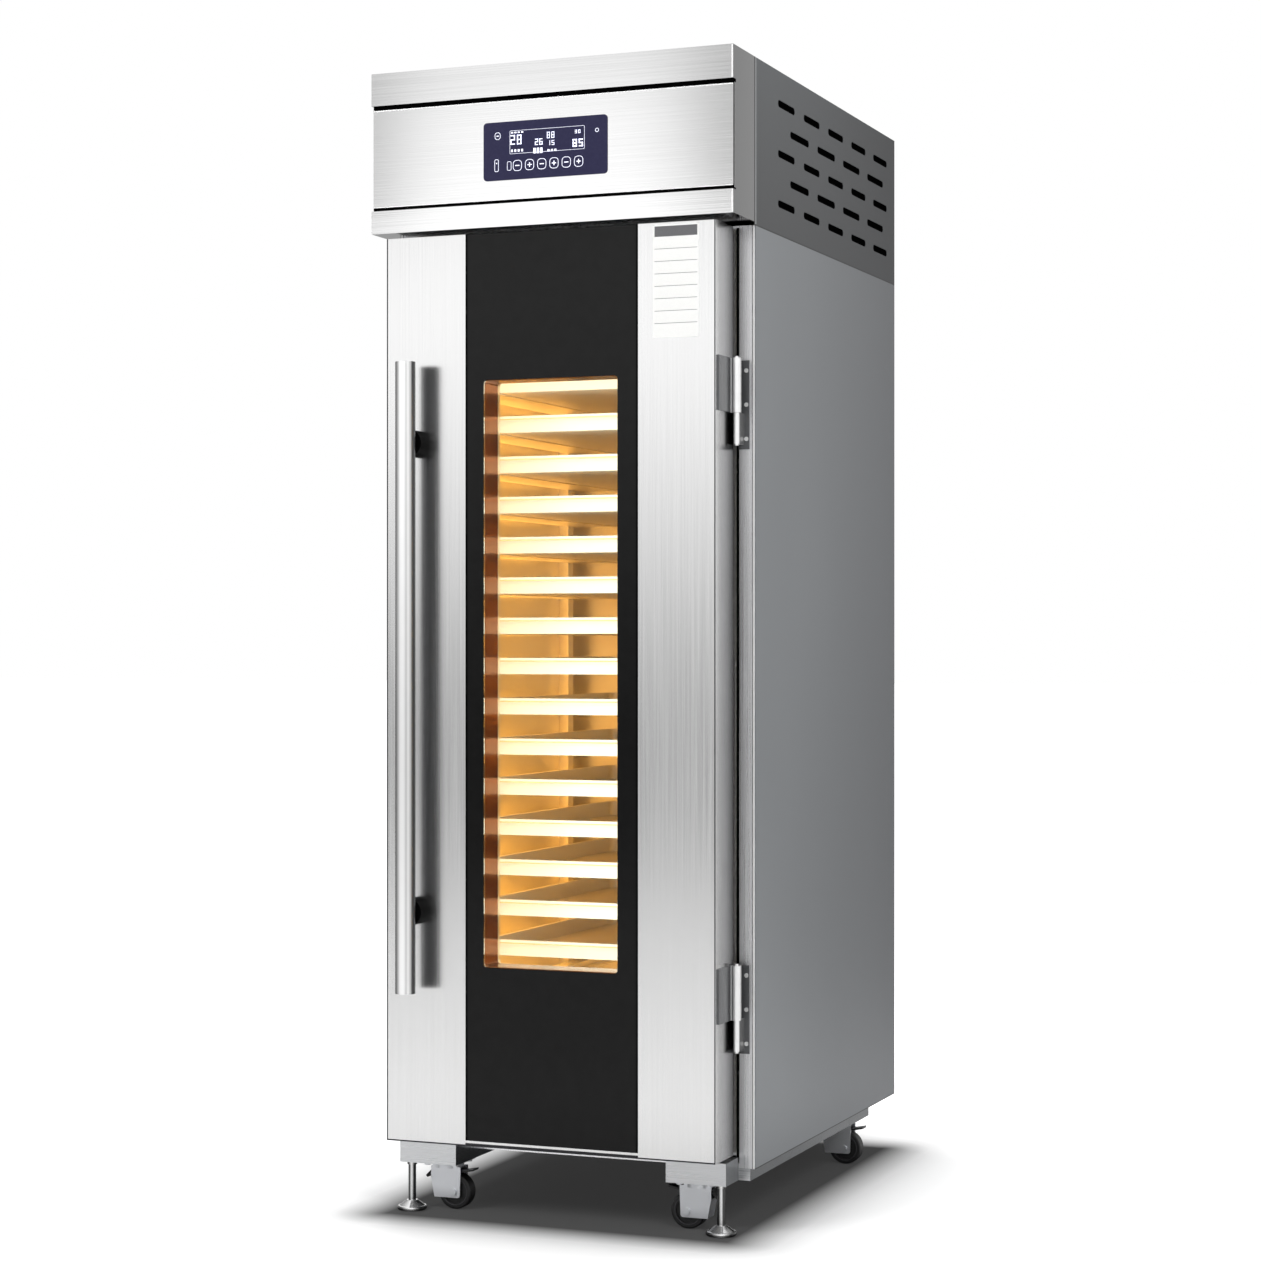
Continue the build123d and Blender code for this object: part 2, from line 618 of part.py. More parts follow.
def handle_tube():
    """Long bar handle: a tube with flat ends."""
    top = HANDLE_BOTTOM + HANDLE_LENGTH
    tube = upright(HANDLE_RADIUS, HANDLE_X, HANDLE_Y, HANDLE_BOTTOM, top)
    bore = HANDLE_RADIUS - HANDLE_WALL
    return tube - upright(bore, HANDLE_X, HANDLE_Y, HANDLE_BOTTOM + HANDLE_WALL, top - HANDLE_WALL)


def handle_posts():
    """Two round standoffs between the door and the tube, each saddled to the tube."""
    posts = []
    for z in (HANDLE_BOTTOM + HANDLE_POST_INSET, HANDLE_BOTTOM + HANDLE_LENGTH - HANDLE_POST_INSET):
        reach = HANDLE_Y + HANDLE_RADIUS - HANDLE_POST_LAP
        post = fore_and_aft(HANDLE_POST_RADIUS, HANDLE_X, reach, DOOR_FRONT, z)
        span = 2 * HANDLE_POST_RADIUS
        posts.append(post - upright(HANDLE_RADIUS, HANDLE_X, HANDLE_Y, z - span, z + span))
    return posts


def hinge_bottoms():
    """The height at which each hinge's barrel starts."""
    return (DOOR_BOTTOM + LOWER_HINGE_LIFT, DOOR_BOTTOM + UPPER_HINGE_LIFT)


def door_hinge_leaf(z):
    """Door half of a hinge: a leaf on the door's side and the barrel."""
    y = -HINGE_AXIS_FRONT
    top = z + BARREL_HEIGHT
    leaf = block(DOOR_RIGHT, DOOR_RIGHT + LEAF_THICKNESS, y - DOOR_LEAF_REACH, y + KNUCKLE_RADIUS, z, top)
    leaf += block(DOOR_RIGHT, HINGE_X, y - KNUCKLE_RADIUS, y + KNUCKLE_RADIUS, z, top)
    leaf += upright(BARREL_RADIUS, HINGE_X, y, z, top)
    for share in (1, 2):
        groove_z = z + share * BARREL_HEIGHT / 3
        ring = Cylinder(BARREL_RADIUS, BARREL_GROOVE_WIDTH)
        ring -= Cylinder(BARREL_RADIUS - BARREL_GROOVE, BARREL_GROOVE_WIDTH)
        leaf -= place(HINGE_X, y, groove_z) * ring
    leaf += upright(HINGE_TIP_RADIUS, HINGE_X, y, top, top + HINGE_TIP_HEIGHT)
    bore_top = z + HINGE_PIN_REACH + 2 * SEAT_GAP
    return leaf - upright(HINGE_PIN_RADIUS + RUNNING_FIT, HINGE_X, y, z, bore_top)


def frame_hinge_leaf(z):
    """Frame half of a hinge: a leaf on the frame, an arm, the lower knuckle and its pin."""
    y = -HINGE_AXIS_FRONT
    knuckle_top = z - SEAT_GAP
    leaf_bottom = z - LEAF_DROP
    leaf = block(
        HINGE_X - LEAF_INNER, HINGE_X + LEAF_OUTER, -LEAF_THICKNESS, 0, leaf_bottom, leaf_bottom + LEAF_HEIGHT
    )
    knuckle_bottom = z - KNUCKLE_HEIGHT
    arm = block(HINGE_X - LEAF_INNER, HINGE_X + LEAF_INNER, y, -LEAF_THICKNESS, knuckle_bottom, knuckle_top)
    leaf += arm + upright(KNUCKLE_RADIUS, HINGE_X, y, knuckle_bottom, knuckle_top)
    leaf += upright(HINGE_PIN_RADIUS, HINGE_X, y, knuckle_top, z + HINGE_PIN_REACH)
    leaf += upright(HINGE_TIP_RADIUS, HINGE_X, y, knuckle_bottom - HINGE_TIP_HEIGHT, knuckle_bottom)
    return leaf


def hinge_screws(z):
    """Three screw heads down the frame leaf."""
    middle = z - LEAF_DROP + LEAF_HEIGHT / 2
    front = -LEAF_THICKNESS - SCREW_HEIGHT
    x = HINGE_X + SCREW_OUT
    return [
        fore_and_aft(SCREW_RADIUS, x, front, -LEAF_THICKNESS, middle + step * SCREW_PITCH)
        for step in (-1, 0, 1)
    ]


# Header and machine compartment

def header_surround():
    """Folded fascia with a top band, a lower band and a recess between them."""
    front = -HEADER_REACH
    back = -HEADER_SEAM
    recess_bottom = HEADER_BOTTOM + HEADER_LOWER_BAND
    recess_top = HEADER_TOP - HEADER_TOP_BAND
    floor = front + HEADER_GROOVE_DEPTH
    shell = block(-HALF, HALF, front, back, HEADER_BOTTOM, HEADER_TOP)
    shell -= block(-HALF, HALF, front, floor, recess_bottom, recess_top)
    hollow = block(-INSIDE, INSIDE, front + SHEET, back, HEADER_BOTTOM + SHEET, HEADER_TOP - SHEET)
    hollow -= block(-INSIDE, INSIDE, front, floor + SHEET, recess_bottom - SHEET, recess_top + SHEET)
    return shell - hollow


def header_panel():
    """Flat panel in the header's recess, with a shadow groove above and below it."""
    front = -HEADER_REACH + HEADER_PANEL_RECESS
    back = -HEADER_REACH + HEADER_GROOVE_DEPTH
    bottom = HEADER_BOTTOM + HEADER_LOWER_BAND + HEADER_LOWER_GROOVE
    return block(-HALF, HALF, front, back, bottom, HEADER_TOP - HEADER_TOP_BAND - HEADER_GROOVE)


def display_plate():
    """Touch panel with its display window and keys, on the header panel's face."""
    back = -HEADER_REACH + HEADER_PANEL_RECESS
    left = DISPLAY_X - DISPLAY_WIDTH / 2
    bottom = HEADER_BOTTOM + DISPLAY_LIFT
    return rounded_opening(
        left, left + DISPLAY_WIDTH, back - DISPLAY_THICKNESS, back, bottom, bottom + DISPLAY_HEIGHT,
        DISPLAY_CORNER,
    )


def controller():
    """Control electronics in a box behind the header's recess."""
    front = -HEADER_REACH + HEADER_GROOVE_DEPTH + SHEET
    left = DISPLAY_X - CONTROLLER_WIDTH / 2
    bottom = HEADER_BOTTOM + DISPLAY_LIFT + (DISPLAY_HEIGHT - CONTROLLER_HEIGHT) / 2
    back = front + CONTROLLER_DEPTH
    return block(left, left + CONTROLLER_WIDTH, front, back, bottom, bottom + CONTROLLER_HEIGHT)


def slot_cutter(length):
    """A ventilation slot's shape through a side cover."""
    return Rot(0, 0, 90) * Rot(90, 0, 0) * extrude(SlotOverall(length, SLOT_HEIGHT), SHEET, both=True)


def machine_cover(side):
    """Side cover of the machine compartment, with full rows of slots and shorter rows between them."""
    x0, x1 = sorted((side * INSIDE, side * HALF))
    middle = (x0 + x1) / 2
    cover = block(x0, x1, -HEADER_SEAM, BODY_DEPTH, CABINET_TOP, HEADER_TOP)
    for row in range(SLOT_ROWS):
        z = CABINET_TOP + SLOT_LOWEST_ROW + row * SLOT_ROW_PITCH
        if row % 2:
            slot, first, pitch, columns = SHORT_ROW_SLOT, SHORT_ROW_FIRST_Y, SHORT_ROW_PITCH, SLOT_COLUMNS - 1
        else:
            slot, first, pitch, columns = SLOT_LENGTH, SLOT_FIRST_Y, SLOT_PITCH, SLOT_COLUMNS
        for column in range(columns):
            cover -= place(middle, first + column * pitch, z) * slot_cutter(slot)
    return cover


def dust_screen(side):
    """Flat dust screen against the inside of a side cover, behind its slots."""
    x0, x1 = sorted((side * (INSIDE - SCREEN_THICKNESS), side * INSIDE))
    reach = SLOT_LENGTH / 2 + SCREEN_MARGIN
    last = SLOT_FIRST_Y + (SLOT_COLUMNS - 1) * SLOT_PITCH
    low = CABINET_TOP + SLOT_LOWEST_ROW - SCREEN_MARGIN
    high = low + (SLOT_ROWS - 1) * SLOT_ROW_PITCH + 2 * SCREEN_MARGIN
    return block(x0, x1, SLOT_FIRST_Y - reach, last + reach, low, high)


def machine_top_sheet():
    """Top sheet of the machine compartment."""
    return block(-INSIDE, INSIDE, -HEADER_SEAM, BODY_DEPTH, HEADER_TOP - SHEET, HEADER_TOP)


def machine_back_sheet():
    """Slotted back sheet of the machine compartment, with the supply gland's hole."""
    cover = block(-INSIDE, INSIDE, BODY_DEPTH - SHEET, BODY_DEPTH, CABINET_TOP, HEADER_TOP - SHEET)
    slot = Rot(90, 0, 0) * extrude(SlotOverall(SLOT_LENGTH, SLOT_HEIGHT), SHEET, both=True)
    first = -SLOT_PITCH * (REAR_SLOT_COLUMNS - 1) / 2
    for row in range(1, SLOT_ROWS):
        for column in range(REAR_SLOT_COLUMNS):
            z = CABINET_TOP + SLOT_LOWEST_ROW + row * SLOT_ROW_PITCH
            cover -= place(first + column * SLOT_PITCH, BODY_DEPTH - SHEET / 2, z) * slot
    z = CABINET_TOP + GLAND_LIFT
    return cover - fore_and_aft(GLAND_RADIUS, GLAND_X, BODY_DEPTH - SHEET, BODY_DEPTH, z)


def cable_gland():
    """Supply gland in the back sheet, ending inside the cabinet's depth."""
    z = CABINET_TOP + GLAND_LIFT
    gland = fore_and_aft(GLAND_RADIUS, GLAND_X, BODY_DEPTH - GLAND_LENGTH, BODY_DEPTH, z)
    return gland - fore_and_aft(GLAND_BORE_RADIUS, GLAND_X, BODY_DEPTH - GLAND_LENGTH, BODY_DEPTH, z)


# Trays and racks

def level_bottom(level):
    """Height of a tray's underside on a runner level."""
    return CHAMBER_FLOOR + FIRST_LEVEL + level * TRAY_PITCH


def tray(level):
    """Baking tray with drawn corners and a rim turned over all round."""
    z = level_bottom(level)
    rim = z + TRAY_HEIGHT - TRAY_RIM_HEIGHT
    width, depth = TRAY_WIDTH - 2 * TRAY_RIM, TRAY_DEPTH - 2 * TRAY_RIM
    wall = 2 * TRAY_WALL
    corner = TRAY_CORNER - TRAY_RIM
    pan = Pos(0, 0, z) * extrude(RectangleRounded(width, depth, corner), TRAY_HEIGHT)
    pan += Pos(0, 0, rim) * extrude(RectangleRounded(TRAY_WIDTH, TRAY_DEPTH, TRAY_CORNER), TRAY_RIM_HEIGHT)
    inside = extrude(RectangleRounded(width - wall, depth - wall, corner - TRAY_WALL), TRAY_HEIGHT)
    pan -= Pos(0, 0, z + TRAY_WALL) * inside
    return place(0, TRAY_FRONT + TRAY_DEPTH / 2, 0) * pan


def runner(level, side):
    """Angle that carries one edge of a tray, with a guide lip beside it and a stop behind it."""
    top = level_bottom(level) - RUNNER_GAP
    edge = TRAY_WIDTH / 2
    y0 = TRAY_FRONT + RUNNER_FRONT_SETBACK
    y1 = TRAY_BACK + SEAT_GAP + RUNNER_SHEET
    lip = edge + RUNNER_SIDE_GAP
    rail = block(edge - RUNNER_LEDGE, CHAMBER_HALF - POST_DEPTH, y0, y1, top - RUNNER_SHEET, top)
    rail += block(lip, lip + RUNNER_SHEET, y0, y1, top - RUNNER_SHEET, top + RUNNER_LIP)
    stop_top = top + TRAY_HEIGHT
    rail += block(edge - RUNNER_LEDGE, lip, y1 - RUNNER_SHEET, y1, top - RUNNER_SHEET, stop_top)
    return rail if side > 0 else mirror(rail, about=Plane.YZ)


def post(setback, side):
    """Upright channel on the chamber's side wall, open towards the wall."""
    y0 = TRAY_FRONT + setback
    x0, x1 = CHAMBER_HALF - POST_DEPTH, CHAMBER_HALF
    channel = block(x0, x1, y0, y0 + POST_WIDTH, CHAMBER_FLOOR, CHAMBER_CEILING)
    channel -= block(
        x0 + RUNNER_SHEET, x1, y0 + RUNNER_SHEET, y0 + POST_WIDTH - RUNNER_SHEET,
        CHAMBER_FLOOR, CHAMBER_CEILING,
    )
    return channel if side > 0 else mirror(channel, about=Plane.YZ)


def rack(side):
    """Two posts and a runner for every level on one side of the chamber."""
    posts = [post(setback, side) for setback in (FRONT_POST_SETBACK, REAR_POST_SETBACK)]
    return posts + [runner(level, side) for level in range(LEVEL_COUNT)]


# Air duct, refrigeration and lamp

def duct_fan_height():
    """Height of the circulation fan's axis."""
    return CHAMBER_CEILING - DUCT_INLET_DROP


def air_duct_panel():
    """Sheet in front of the duct, with the fan's inlet and a row of outlet slots."""
    panel = block(
        -CHAMBER_HALF, CHAMBER_HALF, DUCT_FRONT, DUCT_FRONT + SHEET, CHAMBER_FLOOR, CHAMBER_CEILING
    )
    panel -= fore_and_aft(DUCT_INLET_RADIUS, 0, DUCT_FRONT, DUCT_FRONT + SHEET, duct_fan_height())
    first = -DUCT_SLOT_PITCH * (DUCT_SLOT_COUNT - 1) / 2
    for index in range(DUCT_SLOT_COUNT):
        x = first + index * DUCT_SLOT_PITCH
        z = CHAMBER_FLOOR + DUCT_SLOT_LIFT
        half = DUCT_SLOT_WIDTH / 2
        panel -= block(x - half, x + half, DUCT_FRONT, DUCT_FRONT + SHEET, z, z + DUCT_SLOT_HEIGHT)
    return panel


def fan(y, z):
    """Axial fan: a hub, pitched blades and a shaft that runs back into its motor."""
    middle = y + FAN_DEPTH / 2
    wheel = fore_and_aft(FAN_HUB_RADIUS, 0, y, y + FAN_DEPTH, z)
    length = FAN_RADIUS - FAN_HUB_RADIUS / 2
    for index in range(FAN_BLADES):
        turn = Rot(0, index * 360 / FAN_BLADES, 0) * Pos(0, 0, FAN_RADIUS - length / 2)
        blade = Rot(0, 0, FAN_BLADE_PITCH) * Box(FAN_BLADE_CHORD, FAN_BLADE_THICKNESS, length)
        wheel += place(0, middle, z) * turn * blade
    end = y + FAN_DEPTH
    return wheel + fore_and_aft(FAN_SHAFT_RADIUS, 0, end, end + FAN_GAP + FAN_SHAFT_REACH, z)


def fan_motor(y, z, bracket_top, bracket_bottom):
    """Motor behind a fan, with a strap bracket from one sheet of the casing to another."""
    front = y + FAN_DEPTH + FAN_GAP
    back = front + MOTOR_LENGTH
    motor = fore_and_aft(MOTOR_RADIUS, 0, front, back, z)
    bore = FAN_SHAFT_RADIUS + RUNNING_FIT
    half = BRACKET_WIDTH / 2
    strap = block(-half, half, back - 2 * SHEET, back, bracket_bottom, bracket_top)
    deep = front + FAN_SHAFT_REACH + SEAT_GAP
    return motor + strap - fore_and_aft(bore, 0, front, deep, z)


def finned_coil(width, height, depth, y, z):
    """Heat exchanger: upright fins on rows of tubes between two end plates."""
    half = width / 2
    count = round(width / COIL_FIN_PITCH)
    pitch = width / count
    coil = None
    for index in range(count + 1):
        x = -half + index * pitch
        fin = block(x, x + COIL_FIN_THICKNESS, y, y + depth, z, z + height)
        coil = fin if coil is None else coil + fin
    for row in range(COIL_TUBE_ROWS):
        tube_z = z + height * (row + 0.5) / COIL_TUBE_ROWS
        tube = place(0, y + depth / 2, tube_z) * Rot(0, 90, 0) * Cylinder(COIL_TUBE_RADIUS, width)
        coil += tube
    return coil


def evaporator_unit():
    """Evaporator coil, its drip tray and the circulation fan's motor, in the duct."""
    coil_top = CHAMBER_CEILING - COIL_DROP
    coil_bottom = coil_top - COIL_HEIGHT
    back = CHAMBER_BACK
    coil = finned_coil(COIL_WIDTH, COIL_HEIGHT, COIL_DEPTH, back - COIL_DEPTH, coil_bottom)
    half = COIL_WIDTH / 2
    tray_top = coil_bottom - DRIP_TRAY_GAP
    tray_bottom = tray_top - DRIP_TRAY_HEIGHT
    front = back - COIL_DEPTH
    drip = block(-half, half, front, back, tray_bottom, tray_top)
    drip -= block(-half + SHEET, half - SHEET, front + SHEET, back - SHEET, tray_bottom + SHEET, tray_top)
    motor = fan_motor(DUCT_FRONT + FAN_GAP, duct_fan_height(), CHAMBER_CEILING, coil_top)
    return [coil, drip, motor]


def machine_fan_y():
    """Front face of the condenser fan."""
    return UNIT_FRONT + CONDENSER_SETBACK + CONDENSER_DEPTH + FAN_GAP


def machine_fan_height():
    """Height of the condenser fan's axis."""
    return CABINET_TOP + UNIT_BASE_THICKNESS + CONDENSER_HEIGHT / 2


def condensing_unit():
    """Base plate with the compressor, the condenser coil and the condenser fan's motor."""
    floor = CABINET_TOP
    deck = floor + UNIT_BASE_THICKNESS
    half = UNIT_BASE_WIDTH / 2
    base = block(-half, half, UNIT_FRONT, UNIT_FRONT + UNIT_BASE_DEPTH, floor, deck)
    shell_y = UNIT_FRONT + COMPRESSOR_SETBACK
    shell = upright(COMPRESSOR_RADIUS, COMPRESSOR_X, shell_y, deck, deck + COMPRESSOR_HEIGHT)
    shell = fillet(shell.edges().sort_by(Axis.Z)[-1], COMPRESSOR_RADIUS / 3)
    front = UNIT_FRONT + CONDENSER_SETBACK
    coil = finned_coil(CONDENSER_WIDTH, CONDENSER_HEIGHT, CONDENSER_DEPTH, front, deck)
    fan_z = machine_fan_height()
    motor = fan_motor(machine_fan_y(), fan_z, fan_z + MOTOR_RADIUS, deck)
    return [base, shell, coil, motor]


def chamber_lamp():
    """Strip lamp on the chamber's ceiling, just inside the mouth."""
    half = LAMP_WIDTH / 2
    return block(
        -half, half, LAMP_SETBACK, LAMP_SETBACK + LAMP_DEPTH, CHAMBER_CEILING - LAMP_HEIGHT, CHAMBER_CEILING
    )


def build_cabinet():
    """The fixed casing, its insulation and the base."""
    save("side_panel_left", side_panel(-1))
    save("side_panel_right", side_panel(1))
    save("rear_wrapper", rear_wrapper())
    save("front_frame", front_frame())
    save("insulation", insulation())
    save("inner_liner", *liner_sheets())
    save("base_rails", base_rail(-1), base_rail(1), rear_box(-1), rear_box(1))
    save("levelling_foot_left", levelling_foot(-1))
    save("levelling_foot_right", levelling_foot(1))


def build_casters():
    """Four casters: the front pair trails inwards and the rear pair outwards."""
    plates = []
    layout = [
        ("front_left", -FRONT_CASTER_X, FRONT_CASTER_Y, 0),
        ("front_right", FRONT_CASTER_X, FRONT_CASTER_Y, 180),
        ("rear_left", -REAR_CASTER_X, REAR_CASTER_Y, 180),
        ("rear_right", REAR_CASTER_X, REAR_CASTER_Y, 0),
    ]
    for name, x, y, turn in layout:
        spot = place(x, y, 0) * Rot(0, 0, turn)
        plates.append(spot * caster_plate())
        save(f"caster_fork_{name}", spot * caster_fork(), spot * caster_axle())
        save(f"caster_wheel_{name}", spot * caster_wheel())
        save(f"brake_pedal_{name}", spot * brake_pedal())
    save("caster_plates", *plates)


def build_door():
    """The door with its glass, handle and hinges."""
    save("door_skin", door_skin())
    save("door_liner", door_liner())
    save("door_foam", door_foam())
    save("door_gasket", *door_gasket())
    save("outer_glass", block(GLASS_LEFT, GLASS_RIGHT, GLASS_FRONT, GLASS_BACK, GLASS_BOTTOM, DOOR_TOP))
    save("inner_glass", inner_glass())
    save("handle_tube", handle_tube())
    save("handle_posts", *handle_posts())
    save("door_hinge_leaves", *[door_hinge_leaf(z) for z in hinge_bottoms()])
    frame_leaves = [frame_hinge_leaf(z) for z in hinge_bottoms()]
    screws = [screw for z in hinge_bottoms() for screw in hinge_screws(z)]
    save("frame_hinge_leaves", *frame_leaves, *screws)


def build_header():
    """The header, its controls and the machine compartment's covers."""
    save("header_fascia", header_surround(), header_panel())
    save("control_panel", display_plate(), controller())
    save("machine_cover_left", machine_cover(-1), dust_screen(-1))
    save("machine_cover_right", machine_cover(1), dust_screen(1))
    save("machine_top_cover", machine_top_sheet(), machine_back_sheet(), cable_gland())
    save("condensing_unit", *condensing_unit())
    save("condenser_fan", fan(machine_fan_y(), machine_fan_height()))


def build_chamber():
    """What the chamber holds: racks, trays, duct and lamp."""
    save("rack_left", *rack(-1))
    save("rack_right", *rack(1))
    for index in range(TRAY_COUNT):
        save(f"tray_{index + 1:02d}", tray(EMPTY_LEVELS_BELOW + index))
    save("air_duct_panel", air_duct_panel())
    save("evaporator_unit", *evaporator_unit())
    save("circulation_fan", fan(DUCT_FRONT + FAN_GAP, duct_fan_height()))
    save("chamber_lamp", chamber_lamp())


os.makedirs("parts", exist_ok=True)
build_cabinet()
build_casters()
build_door()
build_header()
build_chamber()
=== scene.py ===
# %% [markdown]
# # A proofing cabinet, dressed in Blender
#
# The cabinet's solids are already built at their real size. This notebook loads them as a fixed
# frame, gives every sheet, tray, caster and hinge its finish, some with painted shade, painted
# highlights or painted reflections in their colour, and models the pieces that are mostly looks: the
# printed glass, the display's figures, the card on the door, the strips of painted shade and painted
# highlight along joints and edges, and the rings on the wheels.
# Everything is in metres. X runs towards the door's hinges, Y towards the back and Z upwards.

# %% Load the frame
import math

import bpy
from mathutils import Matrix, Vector


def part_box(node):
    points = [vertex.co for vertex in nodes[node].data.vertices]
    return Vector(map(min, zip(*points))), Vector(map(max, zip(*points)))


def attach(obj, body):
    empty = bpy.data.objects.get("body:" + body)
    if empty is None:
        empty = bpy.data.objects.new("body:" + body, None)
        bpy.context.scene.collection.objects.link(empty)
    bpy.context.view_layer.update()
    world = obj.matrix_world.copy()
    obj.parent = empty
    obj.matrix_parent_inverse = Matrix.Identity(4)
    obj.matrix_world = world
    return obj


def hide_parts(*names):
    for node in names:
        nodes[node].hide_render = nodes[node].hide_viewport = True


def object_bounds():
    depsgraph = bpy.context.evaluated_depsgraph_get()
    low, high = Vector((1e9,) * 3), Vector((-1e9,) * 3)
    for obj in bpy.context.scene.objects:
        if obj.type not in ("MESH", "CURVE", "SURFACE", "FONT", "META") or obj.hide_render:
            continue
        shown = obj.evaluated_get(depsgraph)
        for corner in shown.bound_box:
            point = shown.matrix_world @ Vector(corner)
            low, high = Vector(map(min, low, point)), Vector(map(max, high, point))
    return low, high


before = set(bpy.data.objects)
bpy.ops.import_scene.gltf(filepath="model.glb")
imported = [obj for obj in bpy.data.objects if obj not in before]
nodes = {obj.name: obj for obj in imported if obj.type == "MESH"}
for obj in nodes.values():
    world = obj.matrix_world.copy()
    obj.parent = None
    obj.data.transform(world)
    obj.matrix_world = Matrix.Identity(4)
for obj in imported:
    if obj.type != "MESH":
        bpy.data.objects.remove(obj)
cad_low, cad_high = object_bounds()
MM = 0.001
print("CAD box:", [round(v, 4) for v in cad_low], [round(v, 4) for v in cad_high])

# %% [markdown]
# ## Small helpers
#
# Operators act on whatever is selected, so each step starts by deselecting everything. A finished
# piece keeps its place in its mesh: its object sits at the origin, unturned and unscaled.

# %% Selecting, placing and joining
def select_only(*objects):
    """Deselect everything, then select these objects and make the first one active."""
    if bpy.context.mode != "OBJECT":
        bpy.ops.object.mode_set(mode="OBJECT")
    bpy.ops.object.select_all(action="DESELECT")
    for obj in objects:
        obj.select_set(True)
    bpy.context.view_layer.objects.active = objects[0]


def settle(obj):
    """Apply the object's place, turn and size to its mesh."""
    select_only(obj)
    bpy.ops.object.transform_apply(location=True, rotation=True, scale=True)
    return obj


def apply_modifier(obj, kind, **settings):
    """Add a modifier, set it up and apply it."""
    select_only(obj)
    bpy.ops.object.modifier_add(type=kind)
    modifier = obj.modifiers[-1]
    for name, value in settings.items():
        setattr(modifier, name, value)
    bpy.ops.object.modifier_apply(modifier=modifier.name)
    return obj


def join(name, pieces):
    """Join pieces into one object with a plain name."""
    select_only(*pieces)
    if len(pieces) > 1:
        bpy.ops.object.join()
    pieces[0].name = name
    pieces[0].data.name = name
    return pieces[0]


def slab(name, low, high):
    """A box between two corners, from a cube primitive."""
    low, high = Vector(low), Vector(high)
    bpy.ops.object.select_all(action="DESELECT")
    bpy.ops.mesh.primitive_cube_add(size=1, location=(low + high) / 2)
    cube = bpy.context.object
    cube.name = name
    cube.scale = high - low
    return settle(cube)


def rounded_slab(name, low, high, corner):
    """A slab facing the front, with its four fore-and-aft edges rounded."""
    piece = slab(name, low, high)
    bpy.ops.object.mode_set(mode="EDIT")
    bpy.ops.mesh.select_mode(type="EDGE")
    bpy.ops.mesh.select_all(action="DESELECT")
    bpy.ops.object.mode_set(mode="OBJECT")
    for line in piece.data.edges:
        a, b = (piece.data.vertices[i].co for i in line.vertices)
        line.select = abs(a.y - b.y) > 1e-6
    bpy.ops.object.mode_set(mode="EDIT")
    bpy.ops.mesh.bevel(offset=corner, segments=8, affect="EDGES")
    bpy.ops.object.mode_set(mode="OBJECT")
    return piece


def shade_smooth(obj):
    """Smooth shading that keeps edges sharper than 35 degrees."""
    select_only(obj)
    bpy.ops.object.shade_smooth_by_angle(angle=math.radians(35))
    return obj


# %% [markdown]
# ## Materials
#
# Each finish below is named for what it is on the real cabinet, or for the painted shade, painted
# highlight or painted reflection that it carries. Colours are written as sRGB hex values and turned to
# linear by one function, and one function adds a node with its settings.

# %% Colour and node helpers
def linear(code):
    """An sRGB hex colour as linear RGBA."""
    values = [int(code[i:i + 2], 16) / 255 for i in (1, 3, 5)]
    return [v / 12.92 if v <= 0.04045 else ((v + 0.055) / 1.055) ** 2.4 for v in values] + [1.0]


def add_node(tree, kind, inputs=None, **settings):
    """Add a node, set its properties and fill or link its inputs."""
    node = tree.nodes.new(kind)
    for name, value in settings.items():
        setattr(node, name, value)
    for key, value in (inputs or {}).items():
        if isinstance(value, bpy.types.NodeSocket):
            tree.links.new(value, node.inputs[key])
        else:
            node.inputs[key].default_value = value
    return node


def new_material(name, **sockets):
    """A material with one Principled BSDF whose plain sockets are set directly."""
    material = bpy.data.materials.new(name)
    material.use_nodes = True
    shader = material.node_tree.nodes["Principled BSDF"]
    for key, value in sockets.items():
        shader.inputs[key.replace("_", " ")].default_value = value
    return material, material.node_tree, shader


def stretched_noise(tree, grain, detail=3.0):
    """Noise on Object coordinates whose grain has its own real size, in metres, along each axis."""
    place = add_node(tree, "ShaderNodeTexCoord")
    scale = [1.0 / size for size in grain]
    mapping = add_node(tree, "ShaderNodeMapping", {"Vector": place.outputs["Object"], "Scale": scale})
    return add_node(
        tree, "ShaderNodeTexNoise", {"Vector": mapping.outputs["Vector"], "Scale": 1.0, "Detail": detail}
    )


def colour_between(tree, shader, factor, dark, light, start=0.3, end=0.7):
    """Drive a shader's base colour between two hex colours."""
    ramp = add_node(tree, "ShaderNodeValToRGB", {"Fac": factor})
    ramp.color_ramp.elements[0].position = start
    ramp.color_ramp.elements[0].color = linear(dark)
    ramp.color_ramp.elements[1].position = end
    ramp.color_ramp.elements[1].color = linear(light)
    tree.links.new(ramp.outputs["Color"], shader.inputs["Base Color"])
    return ramp


def roughness_between(tree, shader, factor, low, high):
    """Drive a shader's roughness between two values."""
    spread = add_node(
        tree, "ShaderNodeMapRange",
        {"Value": factor, "From Min": 0.3, "From Max": 0.7, "To Min": low, "To Max": high},
    )
    tree.links.new(spread.outputs["Result"], shader.inputs["Roughness"])


def bump(tree, shader, height, depth):
    """Real relief of a given depth, in metres."""
    node = add_node(tree, "ShaderNodeBump", {"Height": height, "Distance": depth, "Strength": 1.0})
    tree.links.new(node.outputs["Normal"], shader.inputs["Normal"])


def maths(tree, operation, first, second=0.0):
    """The result of one Math node."""
    return add_node(tree, "ShaderNodeMath", {0: first, 1: second}, operation=operation).outputs[0]


def own(tree, output, axis):
    """One axis of a point's own place (Object), or of the way its face looks (Normal)."""
    source = add_node(tree, "ShaderNodeTexCoord")
    return add_node(tree, "ShaderNodeSeparateXYZ", {"Vector": source.outputs[output]}).outputs[axis]


def share_of(tree, value, start, end):
    """How far a value lies between two others, from 0 to 1."""
    share = add_node(tree, "ShaderNodeMapRange", {"Value": value, "From Min": start, "From Max": end})
    return share.outputs["Result"]


